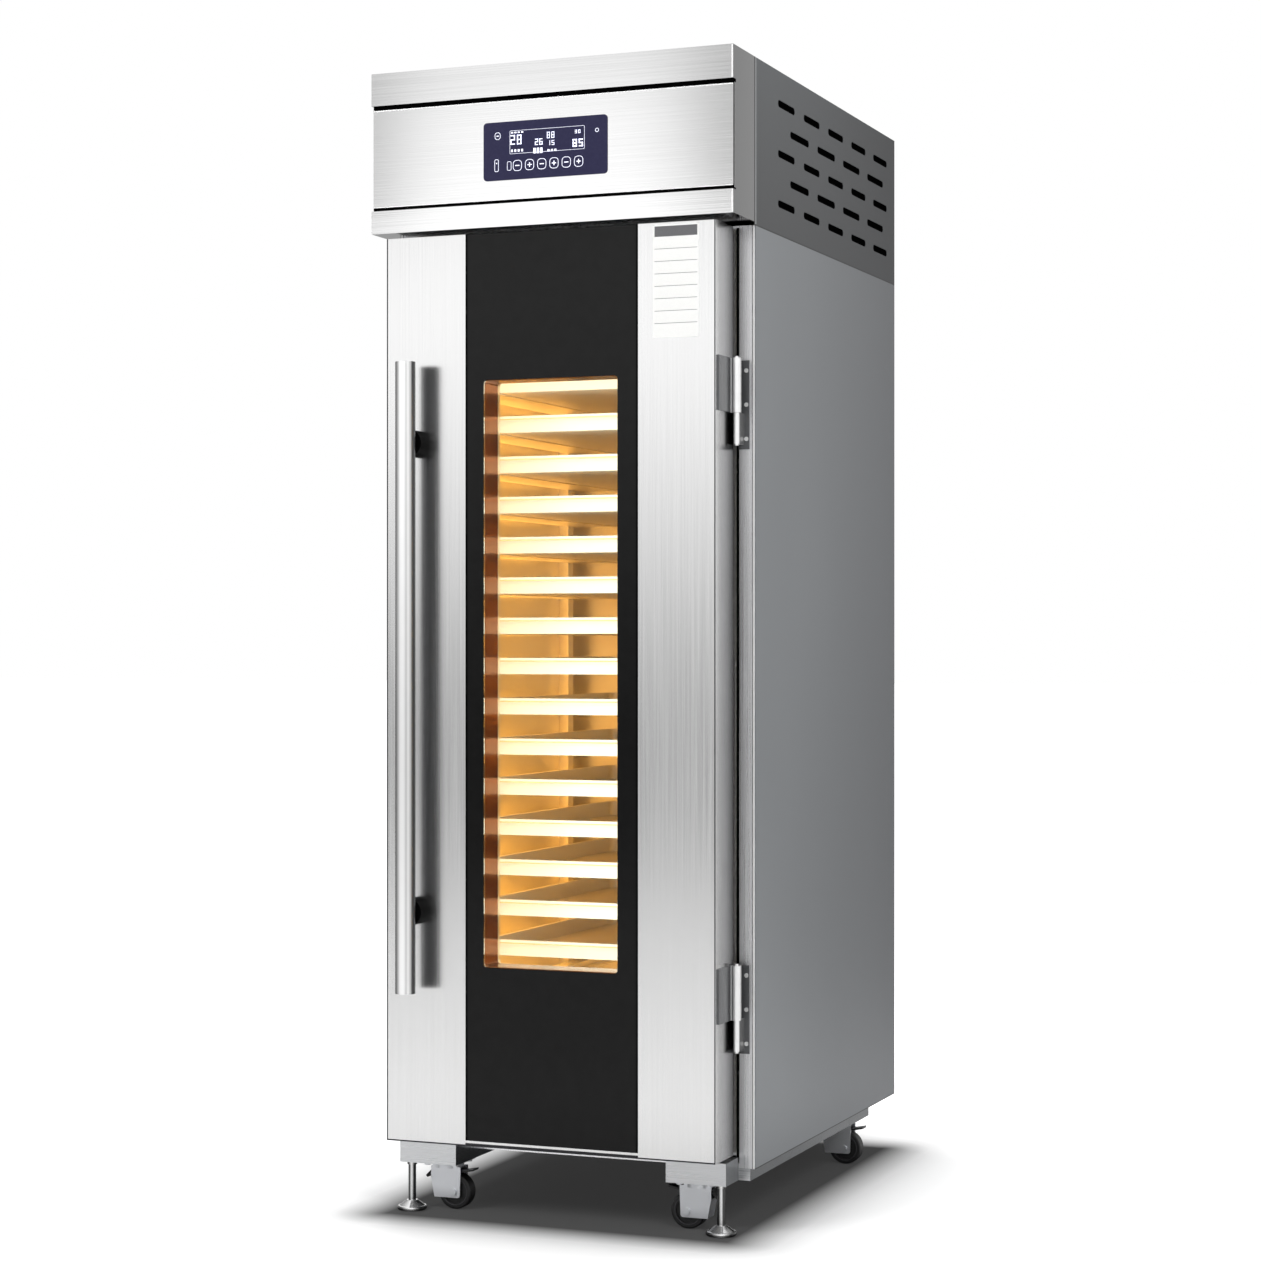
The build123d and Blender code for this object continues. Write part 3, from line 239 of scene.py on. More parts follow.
def graded(tree, value, stops, steps="EASE"):
    """A value turned into a grey tone or a strength, by stops of (value, tone)."""
    lowest, highest = stops[0][0], stops[-1][0]
    ramp = add_node(tree, "ShaderNodeValToRGB", {"Fac": share_of(tree, value, lowest, highest)})
    ramp.color_ramp.interpolation = steps
    elements = ramp.color_ramp.elements
    for element, (_, tone) in zip(elements, (stops[0], stops[-1])):
        element.color = (tone, tone, tone, 1.0)
    for spot, tone in stops[1:-1]:
        element = elements.new((spot - lowest) / (highest - lowest))
        element.color = (tone, tone, tone, 1.0)
    return ramp.outputs["Color"]


# %% [markdown]
# ### Sheet metals
#
# Stainless sheet is rolled, then belt-ground in one direction. The scratches are under 0.1 mm wide,
# far too fine to show here, so the grain is drawn about 1.5 mm wide and 300 mm long.

# %% Where a point lies and which way its face looks
FACING = 0.7


def along(tree, axis, start, end):
    """How far a point lies between two places on one of the object's own axes, from 0 to 1."""
    return share_of(tree, own(tree, "Object", axis), start, end)


def faces_aside(tree):
    """1 on faces that look left or right, 0 elsewhere."""
    return maths(tree, "GREATER_THAN", maths(tree, "ABSOLUTE", own(tree, "Normal", "X")), FACING)


def faces_down(tree):
    """1 on faces that look down, 0 elsewhere."""
    return maths(tree, "LESS_THAN", own(tree, "Normal", "Z"), -FACING)


def banded(tree, axis, edges):
    """1 between each pair of places on one of the object's own axes, 0 elsewhere."""
    place = own(tree, "Object", axis)
    inside = None
    for start, end in edges:
        above = maths(tree, "GREATER_THAN", place, start)
        both = maths(tree, "MULTIPLY", above, maths(tree, "LESS_THAN", place, end))
        inside = maths(tree, "MAXIMUM", inside, both) if inside else both
    return inside


def mixed(tree, factor, first, second):
    """Two colours, or sockets that give them, mixed by a factor."""
    both = add_node(tree, "ShaderNodeMix", {"Factor": factor, 6: first, 7: second}, data_type="RGBA")
    return both.outputs[2]


def mixed_in(tree, shader, factor, second):
    """Mix a second colour, or a socket that gives one, into whatever drives the base colour."""
    first = shader.inputs["Base Color"].links[0].from_socket
    tree.links.new(mixed(tree, factor, first, second), shader.inputs["Base Color"])


# %% Brushed and satin steels
SATIN_METALLIC = 0.85


def brushed_steel(name, dark, light, grain, low=0.24, high=0.36, painted_cheek_shade=None, painted_underside_shade=None):
    """Stainless sheet with a directional grain, and painted shade on some of its faces.

    painted_cheek_shade is (front colour, back colour, front place, back place): painted shade on the
    faces that look left and right, which darkens into the gap behind them. painted_underside_shade is
    the colour of the painted shade on the faces that look down.
    """
    material, tree, shader = new_material(name, Metallic=1.0)
    fine = stretched_noise(tree, grain, 4.0)
    colour_between(tree, shader, fine.outputs["Fac"], dark, light)
    # Painted shade on the faces that look down.
    if painted_underside_shade:
        mixed_in(tree, shader, faces_down(tree), linear(painted_underside_shade))
    # Painted shade on the faces that look left and right, darker towards the back.
    if painted_cheek_shade:
        front_tone, back_tone, front_place, back_place = painted_cheek_shade
        depth = along(tree, "Y", front_place, back_place)
        mixed_in(tree, shader, faces_aside(tree), mixed(tree, depth, linear(front_tone), linear(back_tone)))
    roughness_between(tree, shader, fine.outputs["Fac"], low, high)
    bump(tree, shader, fine.outputs["Fac"], 0.00002)
    return material


def satin_sheet(name, dark, light, metallic=SATIN_METALLIC, roughness=0.42):
    """Plain satin sheet: very slight clouding from rolling, and a faint orange peel."""
    material, tree, shader = new_material(name, Metallic=metallic, Roughness=roughness)
    cloud = stretched_noise(tree, (0.5, 0.5, 0.9), 2.0)
    colour_between(tree, shader, cloud.outputs["Fac"], dark, light)
    peel = stretched_noise(tree, (0.002, 0.002, 0.002), 2.0)
    bump(tree, shader, peel.outputs["Fac"], 0.000008)
    return material


def slotted_cover(name, dark, light, low, high, screen_depth):
    """Satin sheet with painted shade, darker down and to the back, a painted highlight and dark joint lines
    along its edges, and painted black on the faces behind its outer face.
    """
    material = satin_sheet(name, dark, light, roughness=0.34)
    tree = material.node_tree
    shader = tree.nodes["Principled BSDF"]
    # Painted shade: darker down and to the back.
    mixed_in(tree, shader, along(tree, "Z", high.z, low.z), linear("#36383a"))
    mixed_in(tree, shader, along(tree, "Y", low.y + 0.12, high.y), linear("#2e3033"))
    # A painted highlight just behind the front edge, and dark joint lines along the front and lower edges.
    for axis, start, end, tone in (
        ("Y", low.y + 5 * MM, low.y + 11 * MM, "#8e9092"),
        ("Y", low.y - MM, low.y + 5 * MM, "#0a0a0a"),
        ("Z", low.z - MM, low.z + 1.6 * MM, "#1c1c1e"),
    ):
        mixed_in(tree, shader, banded(tree, axis, [(start, end)]), linear(tone))
    # Painted shade: black, and fully metallic, on every face behind the outer face, so that the slots look
    # dark.
    behind = maths(tree, "LESS_THAN", maths(tree, "ABSOLUTE", own(tree, "Object", "X")), screen_depth)
    mixed_in(tree, shader, behind, linear("#020202"))
    bare = add_node(tree, "ShaderNodeMapRange", {"Value": behind, "To Min": SATIN_METALLIC, "To Max": 1.0})
    tree.links.new(bare.outputs["Result"], shader.inputs["Metallic"])
    return material


def edged_sheet(name, dark, light, axis, edges):
    """Satin sheet with painted shade that darkens it to the back, and a dark joint line where it meets its
    neighbours.
    """
    material = satin_sheet(name, dark, light)
    tree = material.node_tree
    shader = tree.nodes["Principled BSDF"]
    # Painted shade: darker towards the back.
    mixed_in(tree, shader, along(tree, "Y", -0.3, 0.5), linear("#76787b"))
    mixed_in(tree, shader, banded(tree, axis, edges), linear("#2a2b2d"))
    return material


# %% [markdown]
# A polished round bar shows long dark and bright streaks. Here they are painted reflections, part of its
# colour: a list of (way the surface looks, tone), where -1 looks to the left and 1 to the right of a
# fixed direction, 21.7 degrees off the front. The painted reflections stay where they are on the bar
# from every side.

# %% Polished bars and hinges
STREAK_TURN = math.radians(21.7)
SIDEWAYS = (math.cos(STREAK_TURN), math.sin(STREAK_TURN), 0.0)
BACKWARDS = (-math.sin(STREAK_TURN), math.cos(STREAK_TURN), 0.0)
ROUND_PAINTED_REFLECTIONS = [
    (-1.0, 0.04), (-0.88, 0.06), (-0.76, 0.3), (-0.62, 0.52), (-0.46, 0.92), (-0.2, 1.0), (-0.02, 0.95),
    (0.1, 0.68), (0.22, 0.7), (0.34, 0.98), (0.46, 0.8), (0.6, 0.62), (0.7, 0.26), (0.8, 0.09), (0.92, 0.04),
    (1.0, 0.1),
]
ROD_PAINTED_REFLECTIONS = [
    (-1.0, 0.03), (-0.6, 0.06), (-0.35, 0.5), (-0.1, 0.95), (0.1, 0.9), (0.3, 0.3), (0.55, 0.04), (1.0, 0.12),
]
BARREL_PAINTED_REFLECTIONS = [
    (-1.0, 0.12), (-0.86, 0.2), (-0.72, 0.62), (-0.5, 1.0), (0.62, 1.0), (0.8, 0.6), (0.92, 0.25), (1.0, 0.2),
]


def looks_along(tree, direction):
    """How squarely a face looks along a level direction, from -1 to 1."""
    facing = add_node(tree, "ShaderNodeTexCoord").outputs["Normal"]
    dot = add_node(tree, "ShaderNodeVectorMath", {0: facing, 1: direction}, operation="DOT_PRODUCT")
    return dot.outputs["Value"]


def painted_reflection_streaks(tree, stops):
    """Painted reflections: the tones across an upright round bar."""
    return graded(tree, looks_along(tree, SIDEWAYS), stops, "LINEAR")


def polished_grain(tree, shader):
    """The hardly visible waviness of a polished surface."""
    grain = stretched_noise(tree, (0.01, 0.01, 0.05), 2.0)
    bump(tree, shader, grain.outputs["Fac"], 0.000004)


def painted_reflection_steel(name, metallic, roughness, stops):
    """Polished tube or rod with long dark and bright painted reflections, and painted shade on the side
    towards the back.
    """
    material, tree, shader = new_material(name, Metallic=metallic, Roughness=roughness)
    # Painted shade on the side that looks back.
    painted_back_shade = share_of(tree, looks_along(tree, BACKWARDS), 0.0, 0.25)
    tone = mixed(tree, painted_back_shade, painted_reflection_streaks(tree, stops), linear("#4c4c4e"))
    tree.links.new(tone, shader.inputs["Base Color"])
    polished_grain(tree, shader)
    return material


def plated_hinge(name, axis, start, end):
    """Polished hinge barrel with painted reflections, whose flat leaf is drawn a plain darker grey."""
    material, tree, shader = new_material(name, Metallic=0.55, Roughness=0.24)
    # Painted reflections across the barrel.
    tree.links.new(painted_reflection_streaks(tree, BARREL_PAINTED_REFLECTIONS), shader.inputs["Base Color"])
    mixed_in(tree, shader, along(tree, axis, start, end), linear("#6c6d6f"))
    polished_grain(tree, shader)
    return material


# %% Make the metals
UPRIGHT_GRAIN = (0.0015, 0.0015, 0.3)
LEVEL_GRAIN = (0.3, 0.0015, 0.0015)
door_low, door_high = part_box("door_skin")
fascia_low, fascia_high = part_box("header_fascia")
frame_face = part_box("front_frame")[0].y
COVER_SHEET = 1.5 * MM
LEAF_SHEET = 3 * MM
LEAF_LAP = 1.02

# Painted shade on the door's side faces: light at the front, near black at the back.
door_steel = brushed_steel(
    "brushed_stainless_door", "#dcdcdc", "#e6e6e6", UPRIGHT_GRAIN, 0.18, 0.24,
    painted_cheek_shade=("#d6d6d6", "#161616", door_low.y, door_high.y),
)
# Painted shade: the header's side faces and underside are a darker grey.
header_steel = brushed_steel(
    "brushed_stainless_header", "#e0e0e0", "#eaeaea", LEVEL_GRAIN, 0.10, 0.13,
    painted_cheek_shade=("#5e5e5e", "#666666", fascia_low.y, fascia_high.y), painted_underside_shade="#565658",
)
# Painted light: the frame is the same stainless as the door, drawn brighter so its strip beside the door
# reads lit.
frame_steel = brushed_steel("brushed_stainless_frame", "#f0f0f2", "#fafafc", UPRIGHT_GRAIN)
side_low, side_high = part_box("side_panel_right")
side_steel = edged_sheet(
    "satin_grey_side_sheet", "#86898c", "#8e9194", "Z",
    [(side_low.z - MM, side_low.z + 1.6 * MM), (side_high.z - 1.2 * MM, side_high.z + MM)],
)
cover_steel = satin_sheet("satin_dark_machine_cover", "#424447", "#4c4e51", roughness=0.34)
slotted_steel = slotted_cover(
    "satin_dark_slotted_cover", "#464a4c", "#505356",
    *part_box("machine_cover_right"), fascia_high.x - 0.9 * COVER_SHEET,
)
liner_steel = satin_sheet("satin_stainless_liner", "#efe6cc", "#f8f0d8", 0.75, 0.3)
rack_steel = satin_sheet("satin_stainless_rack", "#f2e8cc", "#fcf4dc", 0.7, 0.3)
# Painted shade: the rails' side faces are a darker grey.
rail_steel = brushed_steel(
    "brushed_stainless_rail", "#c4c5c7", "#d8d9db", LEVEL_GRAIN,
    painted_cheek_shade=("#707274", "#606264", door_low.y, side_high.y),
)
zinc_plate = satin_sheet("bright_zinc_plate", "#d4d6da", "#e6e8ec", 0.7, 0.28)
tray_aluminium = satin_sheet("satin_aluminium_tray", "#e9e3d6", "#f6f0e2", 0.7, 0.4)
polished_chrome = painted_reflection_steel("polished_chrome", 0.8, 0.12, ROD_PAINTED_REFLECTIONS)
handle_steel = painted_reflection_steel("polished_stainless_tube", 0.4, 0.16, ROUND_PAINTED_REFLECTIONS)
door_leaf_steel = plated_hinge(
    "plated_steel_door_leaf", "X", door_high.x + LEAF_LAP * LEAF_SHEET, door_high.x + LEAF_SHEET
)
frame_leaf_steel = plated_hinge(
    "plated_steel_frame_leaf", "Y", frame_face - LEAF_LAP * LEAF_SHEET, frame_face - LEAF_SHEET
)
bronze_sheet = satin_sheet("polished_bronze_sheet", "#8a4c14", "#925218", 1.0, 0.14)
coil_aluminium = satin_sheet("plain_coil_aluminium", "#b8b8b8", "#d0d0d0", 1.0, 0.35)

# %% [markdown]
# ### Plastics, rubber and foam
#
# Moulded plastics aren't metallic. Their gloss comes from an IOR of about 1.5 and their skin has a
# fine spark-eroded texture, drawn about 1 mm wide so that it shows. Dull or shaded surfaces have a
# lower IOR than the real material, so that they mirror less of the bright studio.

# %% Moulded and cast finishes
def moulded(name, dark, light, roughness, grit=0.001, relief=0.00003, ior=1.5):
    """A moulded or cast surface with a fine grit."""
    material, tree, shader = new_material(name, Roughness=roughness, IOR=ior)
    texture = stretched_noise(tree, (grit, grit, grit), 3.0)
    colour_between(tree, shader, texture.outputs["Fac"], dark, light)
    bump(tree, shader, texture.outputs["Fac"], relief)
    return material


black_plastic = moulded("moulded_black_plastic", "#0c0c0d", "#161618", 0.42)
post_nylon = moulded("moulded_black_post", "#020202", "#050505", 0.6, ior=1.15)
# The next three finishes are for strips of painted shade and painted highlight: near black and dull grey for
# painted shade, near white for painted highlights.
painted_shade_black = moulded("painted_black_shade", "#030303", "#060606", 0.8, ior=1.0)
painted_shade_grey = moulded("painted_grey_shade", "#2c2c2e", "#38383a", 0.6, ior=1.15)
painted_highlight_white = satin_sheet("painted_white_highlight", "#f6f6f6", "#ffffff", 0.3, 0.3)
hub_grey = moulded("moulded_grey_hub", "#3a3a3c", "#464648", 0.45, ior=1.3)
rim_shade = moulded("amber_rim_shade", "#c08a48", "#cc9654", 0.5, ior=1.2)
wheel_rubber = moulded("moulded_black_tread", "#0f0f10", "#1b1b1c", 0.5)
gasket_rubber = moulded("soft_black_gasket", "#060606", "#0e0e0e", 0.6, ior=1.4)
poured_foam = moulded("poured_cream_foam", "#d8cba0", "#e8dcb4", 0.9, 0.003, 0.0002)
machine_paint = moulded("gloss_black_machine_paint", "#0d0d0e", "#161617", 0.3, 0.002)
display_plastic = moulded("gloss_navy_display", "#2e2d48", "#32314c", 0.3, 0.004, 0.000002, 1.16)
border_print = moulded("black_printed_glass", "#0e0e0e", "#121212", 0.12, 0.02, 0.000001, 1.25)
card_paper = moulded("coated_white_card", "#f0f0ee", "#f8f8f6", 0.35)
card_ink = moulded("grey_card_ink", "#5c5c5e", "#666668", 0.4)

# %% [markdown]
# ### Glass and light
#
# The panes are float glass. Its IOR is 1.52, but 1.15 is set here, so that the panes hardly mirror the
# bright studio. The display's figures and the lamps' lenses glow.

# %% Glass, figures and lamp lens
def float_glass(name):
    """Clear float glass with hardly any waviness."""
    material, tree, shader = new_material(
        name, Roughness=0.0, IOR=1.15, Transmission_Weight=1.0, Base_Color=linear("#fbfffd")
    )
    wave = stretched_noise(tree, (0.2, 0.2, 0.2), 1.0)
    bump(tree, shader, wave.outputs["Fac"], 0.00002)
    return material


def glowing(name, hue, strength):
    """A surface lit from behind, of one even colour."""
    material, tree, shader = new_material(name, Roughness=0.4, Emission_Strength=strength)
    cloud = stretched_noise(tree, (0.05, 0.05, 0.05), 2.0)
    ramp = colour_between(tree, shader, cloud.outputs["Fac"], hue, hue)
    tree.links.new(ramp.outputs["Color"], shader.inputs["Emission Color"])
    return material


clear_glass = float_glass("clear_float_glass")
figure_light = glowing("pale_display_figures", "#e4e6f4", 0.9)
lamp_lens = glowing("warm_lamp_lens", "#ffc27a", 6.0)

# %% [markdown]
# ## Finishing the fixed frame
#
# A solid whose shape is right keeps its mesh and only gets its real finish.

# %% Give each node its finish
FINISHES = {
    "door_skin": door_steel,
    "header_fascia": header_steel,
    "front_frame": frame_steel,
    "side_panel_left": side_steel,
    "side_panel_right": side_steel,
    "rear_wrapper": side_steel,
    "machine_cover_left": slotted_steel,
    "machine_cover_right": slotted_steel,
    "machine_top_cover": cover_steel,
    "inner_liner": liner_steel,
    "air_duct_panel": liner_steel,
    "door_liner": liner_steel,
    "rack_left": rack_steel,
    "rack_right": rack_steel,
    "insulation": poured_foam,
    "door_foam": poured_foam,
    "door_gasket": gasket_rubber,
    "inner_glass": clear_glass,
    "outer_glass": clear_glass,
    "handle_tube": handle_steel,
    "handle_posts": post_nylon,
    "door_hinge_leaves": door_leaf_steel,
    "frame_hinge_leaves": frame_leaf_steel,
    "control_panel": display_plastic,
    "base_rails": rail_steel,
    "caster_plates": zinc_plate,
    "evaporator_unit": coil_aluminium,
    "condensing_unit": machine_paint,
    "circulation_fan": black_plastic,
    "condenser_fan": black_plastic,
    "chamber_lamp": lamp_lens,
}
FINISH_STARTS = {
    "tray_": tray_aluminium,
    "caster_fork_": zinc_plate,
    "caster_wheel_": wheel_rubber,
    "brake_pedal_": black_plastic,
    "levelling_foot_": polished_chrome,
}


def finish_for(name):
    """The finish of a node, by its name or by how its name starts."""
    if name in FINISHES:
        return FINISHES[name]
    return next(finish for start, finish in FINISH_STARTS.items() if name.startswith(start))


for name, obj in nodes.items():
    obj.data.materials.clear()
    obj.data.materials.append(finish_for(name))
print(len(nodes), "nodes finished")

# %% [markdown]
# ## The door's printed glass
#
# One tempered pane covers the middle of the door. Its border is printed black on the back and its
# window is left clear. The border and the clear window are two pieces of the same pane, so that each
# keeps one plain material.

# %% Model the border and the window
pane_low, pane_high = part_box("outer_glass")
sight_low, sight_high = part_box("inner_glass")
SIGHT_LAP = 8 * MM
SIGHT_CORNER = 6 * MM
PANE_EDGE = 0.6 * MM


def sight_box(grow, y0, y1):
    """Corners of the clear window, grown all round, between two depths."""
    lap = SIGHT_LAP - grow
    low = (sight_low.x + lap, y0, sight_low.z + lap)
    high = (sight_high.x - lap, y1, sight_high.z - lap)
    return low, high


def cut_away(piece, cutter):
    """Take one shape out of another and delete the cutter."""
    apply_modifier(piece, "BOOLEAN", operation="DIFFERENCE", object=cutter, solver="EXACT")
    bpy.data.objects.remove(cutter)
    return piece


def glass_border():
    """The black part of the pane, with the window's opening in it."""
    border = slab("glass_border", pane_low, pane_high)
    low, high = sight_box(0, pane_low.y - MM, pane_high.y + MM)
    cut_away(border, rounded_slab("window_cutter", low, high, SIGHT_CORNER))
    return apply_modifier(border, "BEVEL", width=PANE_EDGE, segments=2, limit_method="ANGLE", angle_limit=1.0)


def window_pane():
    """The clear part of the pane."""
    low, high = sight_box(-0.05 * MM, pane_low.y + 0.4 * MM, pane_high.y)
    return rounded_slab("window_pane", low, high, SIGHT_CORNER)


for pane, finish in ((glass_border(), border_print), (window_pane(), clear_glass)):
    pane.data.materials.append(finish)
    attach(pane, "door")
    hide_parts("outer_glass")

# %% [markdown]
# ## The window's reveal
#
# Between the two panes the door's thickness is lined with bronze-coloured polished sheet. It is a
# thin frame: a rounded slab with a slightly smaller one taken out.

# %% Model the reveal
REVEAL_SHEET = 0.8 * MM


def window_reveal():
    """The polished lining between the outer pane and the inner one."""
    y0, y1 = pane_high.y + 0.2 * MM, sight_low.y - 0.2 * MM
    low, high = sight_box(-0.1 * MM, y0, y1)
    lining = rounded_slab("window_reveal", low, high, SIGHT_CORNER)
    low, high = sight_box(-REVEAL_SHEET, y0 - MM, y1 + MM)
    return cut_away(lining, rounded_slab("reveal_cutter", low, high, SIGHT_CORNER - REVEAL_SHEET))


reveal = window_reveal()
reveal.data.materials.append(bronze_sheet)
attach(reveal, "door")

# %% [markdown]
# ## The display's figures
#
# The touch panel is one flat navy sheet. Its figures are lit segments behind it, and its keys are
# printed outlines. They are modelled as very thin raised shapes, so that they also exist in the mesh.

# %% Segment digits and outlines
plate_low, plate_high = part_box("control_panel")
INK = 0.25 * MM
FACE = plate_low.y
PANEL_X = (plate_low.x + plate_high.x) / 2
PANEL_Z = (plate_low.z + plate_high.z) / 2
SEGMENTS = {
    "0": "abcdef", "1": "bc", "2": "abged", "3": "abgcd", "4": "fgbc",
    "5": "afgcd", "6": "afgecd", "7": "abc", "8": "abcdefg", "9": "abcdfg",
}


def stroke(x0, z0, x1, z1):
    """One flat stroke on the display's face, between two corners in metres from its centre."""
    low = (PANEL_X + x0, FACE - INK, PANEL_Z + z0)
    high = (PANEL_X + x1, FACE, PANEL_Z + z1)
    return slab("stroke", low, high)


def digit(figure, x, z, width, height, line):
    """Strokes of one seven-segment figure whose lower left corner is at x, z."""
    half = height / 2
    bars = {
        "a": (x, z + height - line, x + width, z + height),
        "b": (x + width - line, z + half, x + width, z + height),
        "c": (x + width - line, z, x + width, z + half),
        "d": (x, z, x + width, z + line),
        "e": (x, z, x + line, z + half),
        "f": (x, z + half, x + line, z + height),
        "g": (x, z + half - line / 2, x + width, z + half + line / 2),
    }
    return [stroke(*bars[name]) for name in SEGMENTS[figure]]


def number(figures, x, z, width, height, line, pitch):
    """Strokes of several figures side by side."""
    strokes = []
    for index, figure in enumerate(figures):
        strokes += digit(figure, x + index * pitch, z, width, height, line)
    return strokes


def outline(x, z, width, height, corner, line):
    """A rounded outline: a slab with its face inset, its middle taken out and its corners rounded."""
    low = (PANEL_X + x - width / 2, FACE - INK, PANEL_Z + z - height / 2)
    high = (PANEL_X + x + width / 2, FACE, PANEL_Z + z + height / 2)
    ring = rounded_slab("outline", low, high, corner)
    hole_low = (low[0] + line, low[1] - MM, low[2] + line)
    hole_high = (high[0] - line, high[1] + MM, high[2] - line)
    return cut_away(ring, rounded_slab("outline_cutter", hole_low, hole_high, max(corner - line, line / 2)))


def display_figures():
    """Three readings and a few small marks, inside a thin frame."""
    strokes = number("28", -66 * MM, 10 * MM, 8.5 * MM, 17 * MM, 2.0 * MM, 12.5 * MM)
    strokes += number("26", -19 * MM, 6.5 * MM, 6 * MM, 11 * MM, 1.4 * MM, 8.5 * MM)
    strokes += number("85", 53 * MM, -1.5 * MM, 8 * MM, 13.5 * MM, 2.2 * MM, 11.5 * MM)
    strokes += number("88", 4 * MM, 17 * MM, 5.5 * MM, 11 * MM, 1.1 * MM, 8.5 * MM)
    strokes += number("15", 5 * MM, 4.5 * MM, 5 * MM, 8.5 * MM, 1.1 * MM, 8 * MM)
    strokes += number("30", 57 * MM, 22 * MM, 4 * MM, 6 * MM, 1.0 * MM, 6.5 * MM)
    for index in range(4):
        x = -65 * MM + index * 6.5 * MM
        strokes.append(stroke(x, 30 * MM, x + 4 * MM, 32.5 * MM))
        strokes.append(stroke(x, -3 * MM, x + 3.5 * MM, 1.5 * MM))
    for index in range(3):
        x = -22 * MM + index * 6.5 * MM
        strokes.append(stroke(x, -8 * MM, x + 4.5 * MM, 1.5 * MM))
        strokes.append(stroke(x + 27 * MM, -6 * MM, x + 31 * MM, -2.5 * MM))
    strokes.append(outline(4 * MM, 14.3 * MM, 143 * MM, 41 * MM, 2 * MM, 0.5 * MM))
    return join("display_figures", strokes)


def touch_keys():
    """Six rounded keys and some small lamps, each with a plain mark."""
    pieces = []
    for index in range(6):
        x = -52.8 * MM + index * 23.4 * MM
        pieces.append(outline(x, -27.1 * MM, 17 * MM, 19 * MM, 6.5 * MM, 0.9 * MM))
        pieces.append(stroke(x - 4 * MM, -27.9 * MM, x + 4 * MM, -26.3 * MM))
        if index % 2:
            pieces.append(stroke(x - 0.8 * MM, -31.1 * MM, x + 0.8 * MM, -23.1 * MM))
    pieces.append(outline(-68.6 * MM, -27.1 * MM, 8 * MM, 16 * MM, 2.5 * MM, 0.7 * MM))
    pieces.append(outline(-91 * MM, 27 * MM, 11 * MM, 13 * MM, 5 * MM, 0.8 * MM))
    pieces.append(stroke(-93 * MM, 26.2 * MM, -89 * MM, 27.8 * MM))
    pieces.append(outline(-93 * MM, -25 * MM, 8 * MM, 22 * MM, 3 * MM, 0.8 * MM))
    pieces.append(stroke(-94 * MM, -22 * MM, -92 * MM, -20 * MM))
    pieces.append(outline(99 * MM, 25 * MM, 7 * MM, 7 * MM, 3.3 * MM, 0.9 * MM))
    return join("touch_keys", pieces)


for piece in (display_figures(), touch_keys()):
    piece.data.materials.append(figure_light)
    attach(piece, "cabinet")

# %% [markdown]
# ## The card on the door
#
# The upper right of the door carries a small card. Here it is a plain one: white, with a grey head
# and ruled lines, and no words.

# %% Model the card
CARD_WIDTH = 84.8 * MM
CARD_HEIGHT = 195.6 * MM
CARD_INSET = 30.6 * MM
CARD_DROP = 3.4 * MM
CARD_THICKNESS = 0.4 * MM
CARD_CORNER = 3 * MM
CARD_MARGIN = 3 * MM
CARD_HEAD = 18 * MM
CARD_INK = 0.1 * MM
CARD_LINES = 7
CARD_RULE = 0.8 * MM


def door_card():
    """The card's white sheet."""
    right = door_high.x - CARD_INSET
    top = door_high.z - CARD_DROP
    low = (right - CARD_WIDTH, door_low.y - CARD_THICKNESS, top - CARD_HEIGHT)
    return rounded_slab("door_card", low, (right, door_low.y, top), CARD_CORNER)


def card_print(card_low, card_high):
    """A grey head and thin ruled lines."""
    front = card_low.y - CARD_INK
    left, right = card_low.x + CARD_MARGIN, card_high.x - CARD_MARGIN
    top = card_high.z - CARD_MARGIN
    pieces = [slab("card_head", (left, front, top - CARD_HEAD), (right, card_low.y, top))]
    pitch = (top - CARD_HEAD - card_low.z - CARD_MARGIN) / (CARD_LINES + 1)
    for line in range(1, CARD_LINES + 1):
        z = top - CARD_HEAD - line * pitch
        pieces.append(slab("card_rule", (left, front, z), (right, card_low.y, z + CARD_RULE)))
    return join("card_print", pieces)


card = door_card()
corners = [Vector(corner) for corner in card.bound_box]
ink = card_print(corners[0], corners[6])
for piece, finish in ((card, card_paper), (ink, card_ink)):
    piece.data.materials.append(finish)
    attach(piece, "door")

# %% [markdown]
# ## Painted shade and painted highlights
#
# Sheet-metal work is read by its edges. Here the dark lines along joints, grooves and gaps are painted
# shade, and the bright lines along folds and corners are painted highlights. They are far too thin for a
# bevel to show, so each is a strip of its own, laid on the sheet it belongs to.

# %% Strips on the header and the body
STRIP = 0.3 * MM


def strips(name, body, boxes, finish):
    """Thin strips of one finish, joined and carried by one body. Each box is two corners."""
    piece = join(name, [slab("strip", low, high) for low, high in boxes])
    piece.data.materials.append(finish)
    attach(piece, body)
    return piece


def on_face(face, x0, x1, z0, z1, lift=STRIP):
    """The two corners of a strip laid on a surface that looks to the front."""
    return (x0, face - lift, z0), (x1, face, z1)


RECESS_DEPTH = 8 * MM
TOP_BAND = 58 * MM
LOWER_BAND = 41 * MM
GROOVE_SHADE = 7 * MM
EDGE_HIGHLIGHT = 2.4 * MM
recess = fascia_low.y + RECESS_DEPTH
recess_top = fascia_high.z - TOP_BAND
recess_bottom = fascia_low.z + LOWER_BAND
wide = fascia_high.x - 0.5 * MM
# Painted shade: black strips along the grooves under the top band and over the lower band, and up the
# recess's right end.
header_painted_shade = [
    on_face(recess, -wide, wide, recess_top - GROOVE_SHADE, recess_top),
    on_face(recess, -wide, wide, recess_bottom, recess_bottom + GROOVE_SHADE),
    on_face(recess, wide - 2 * MM, wide, recess_bottom, recess_top),
]
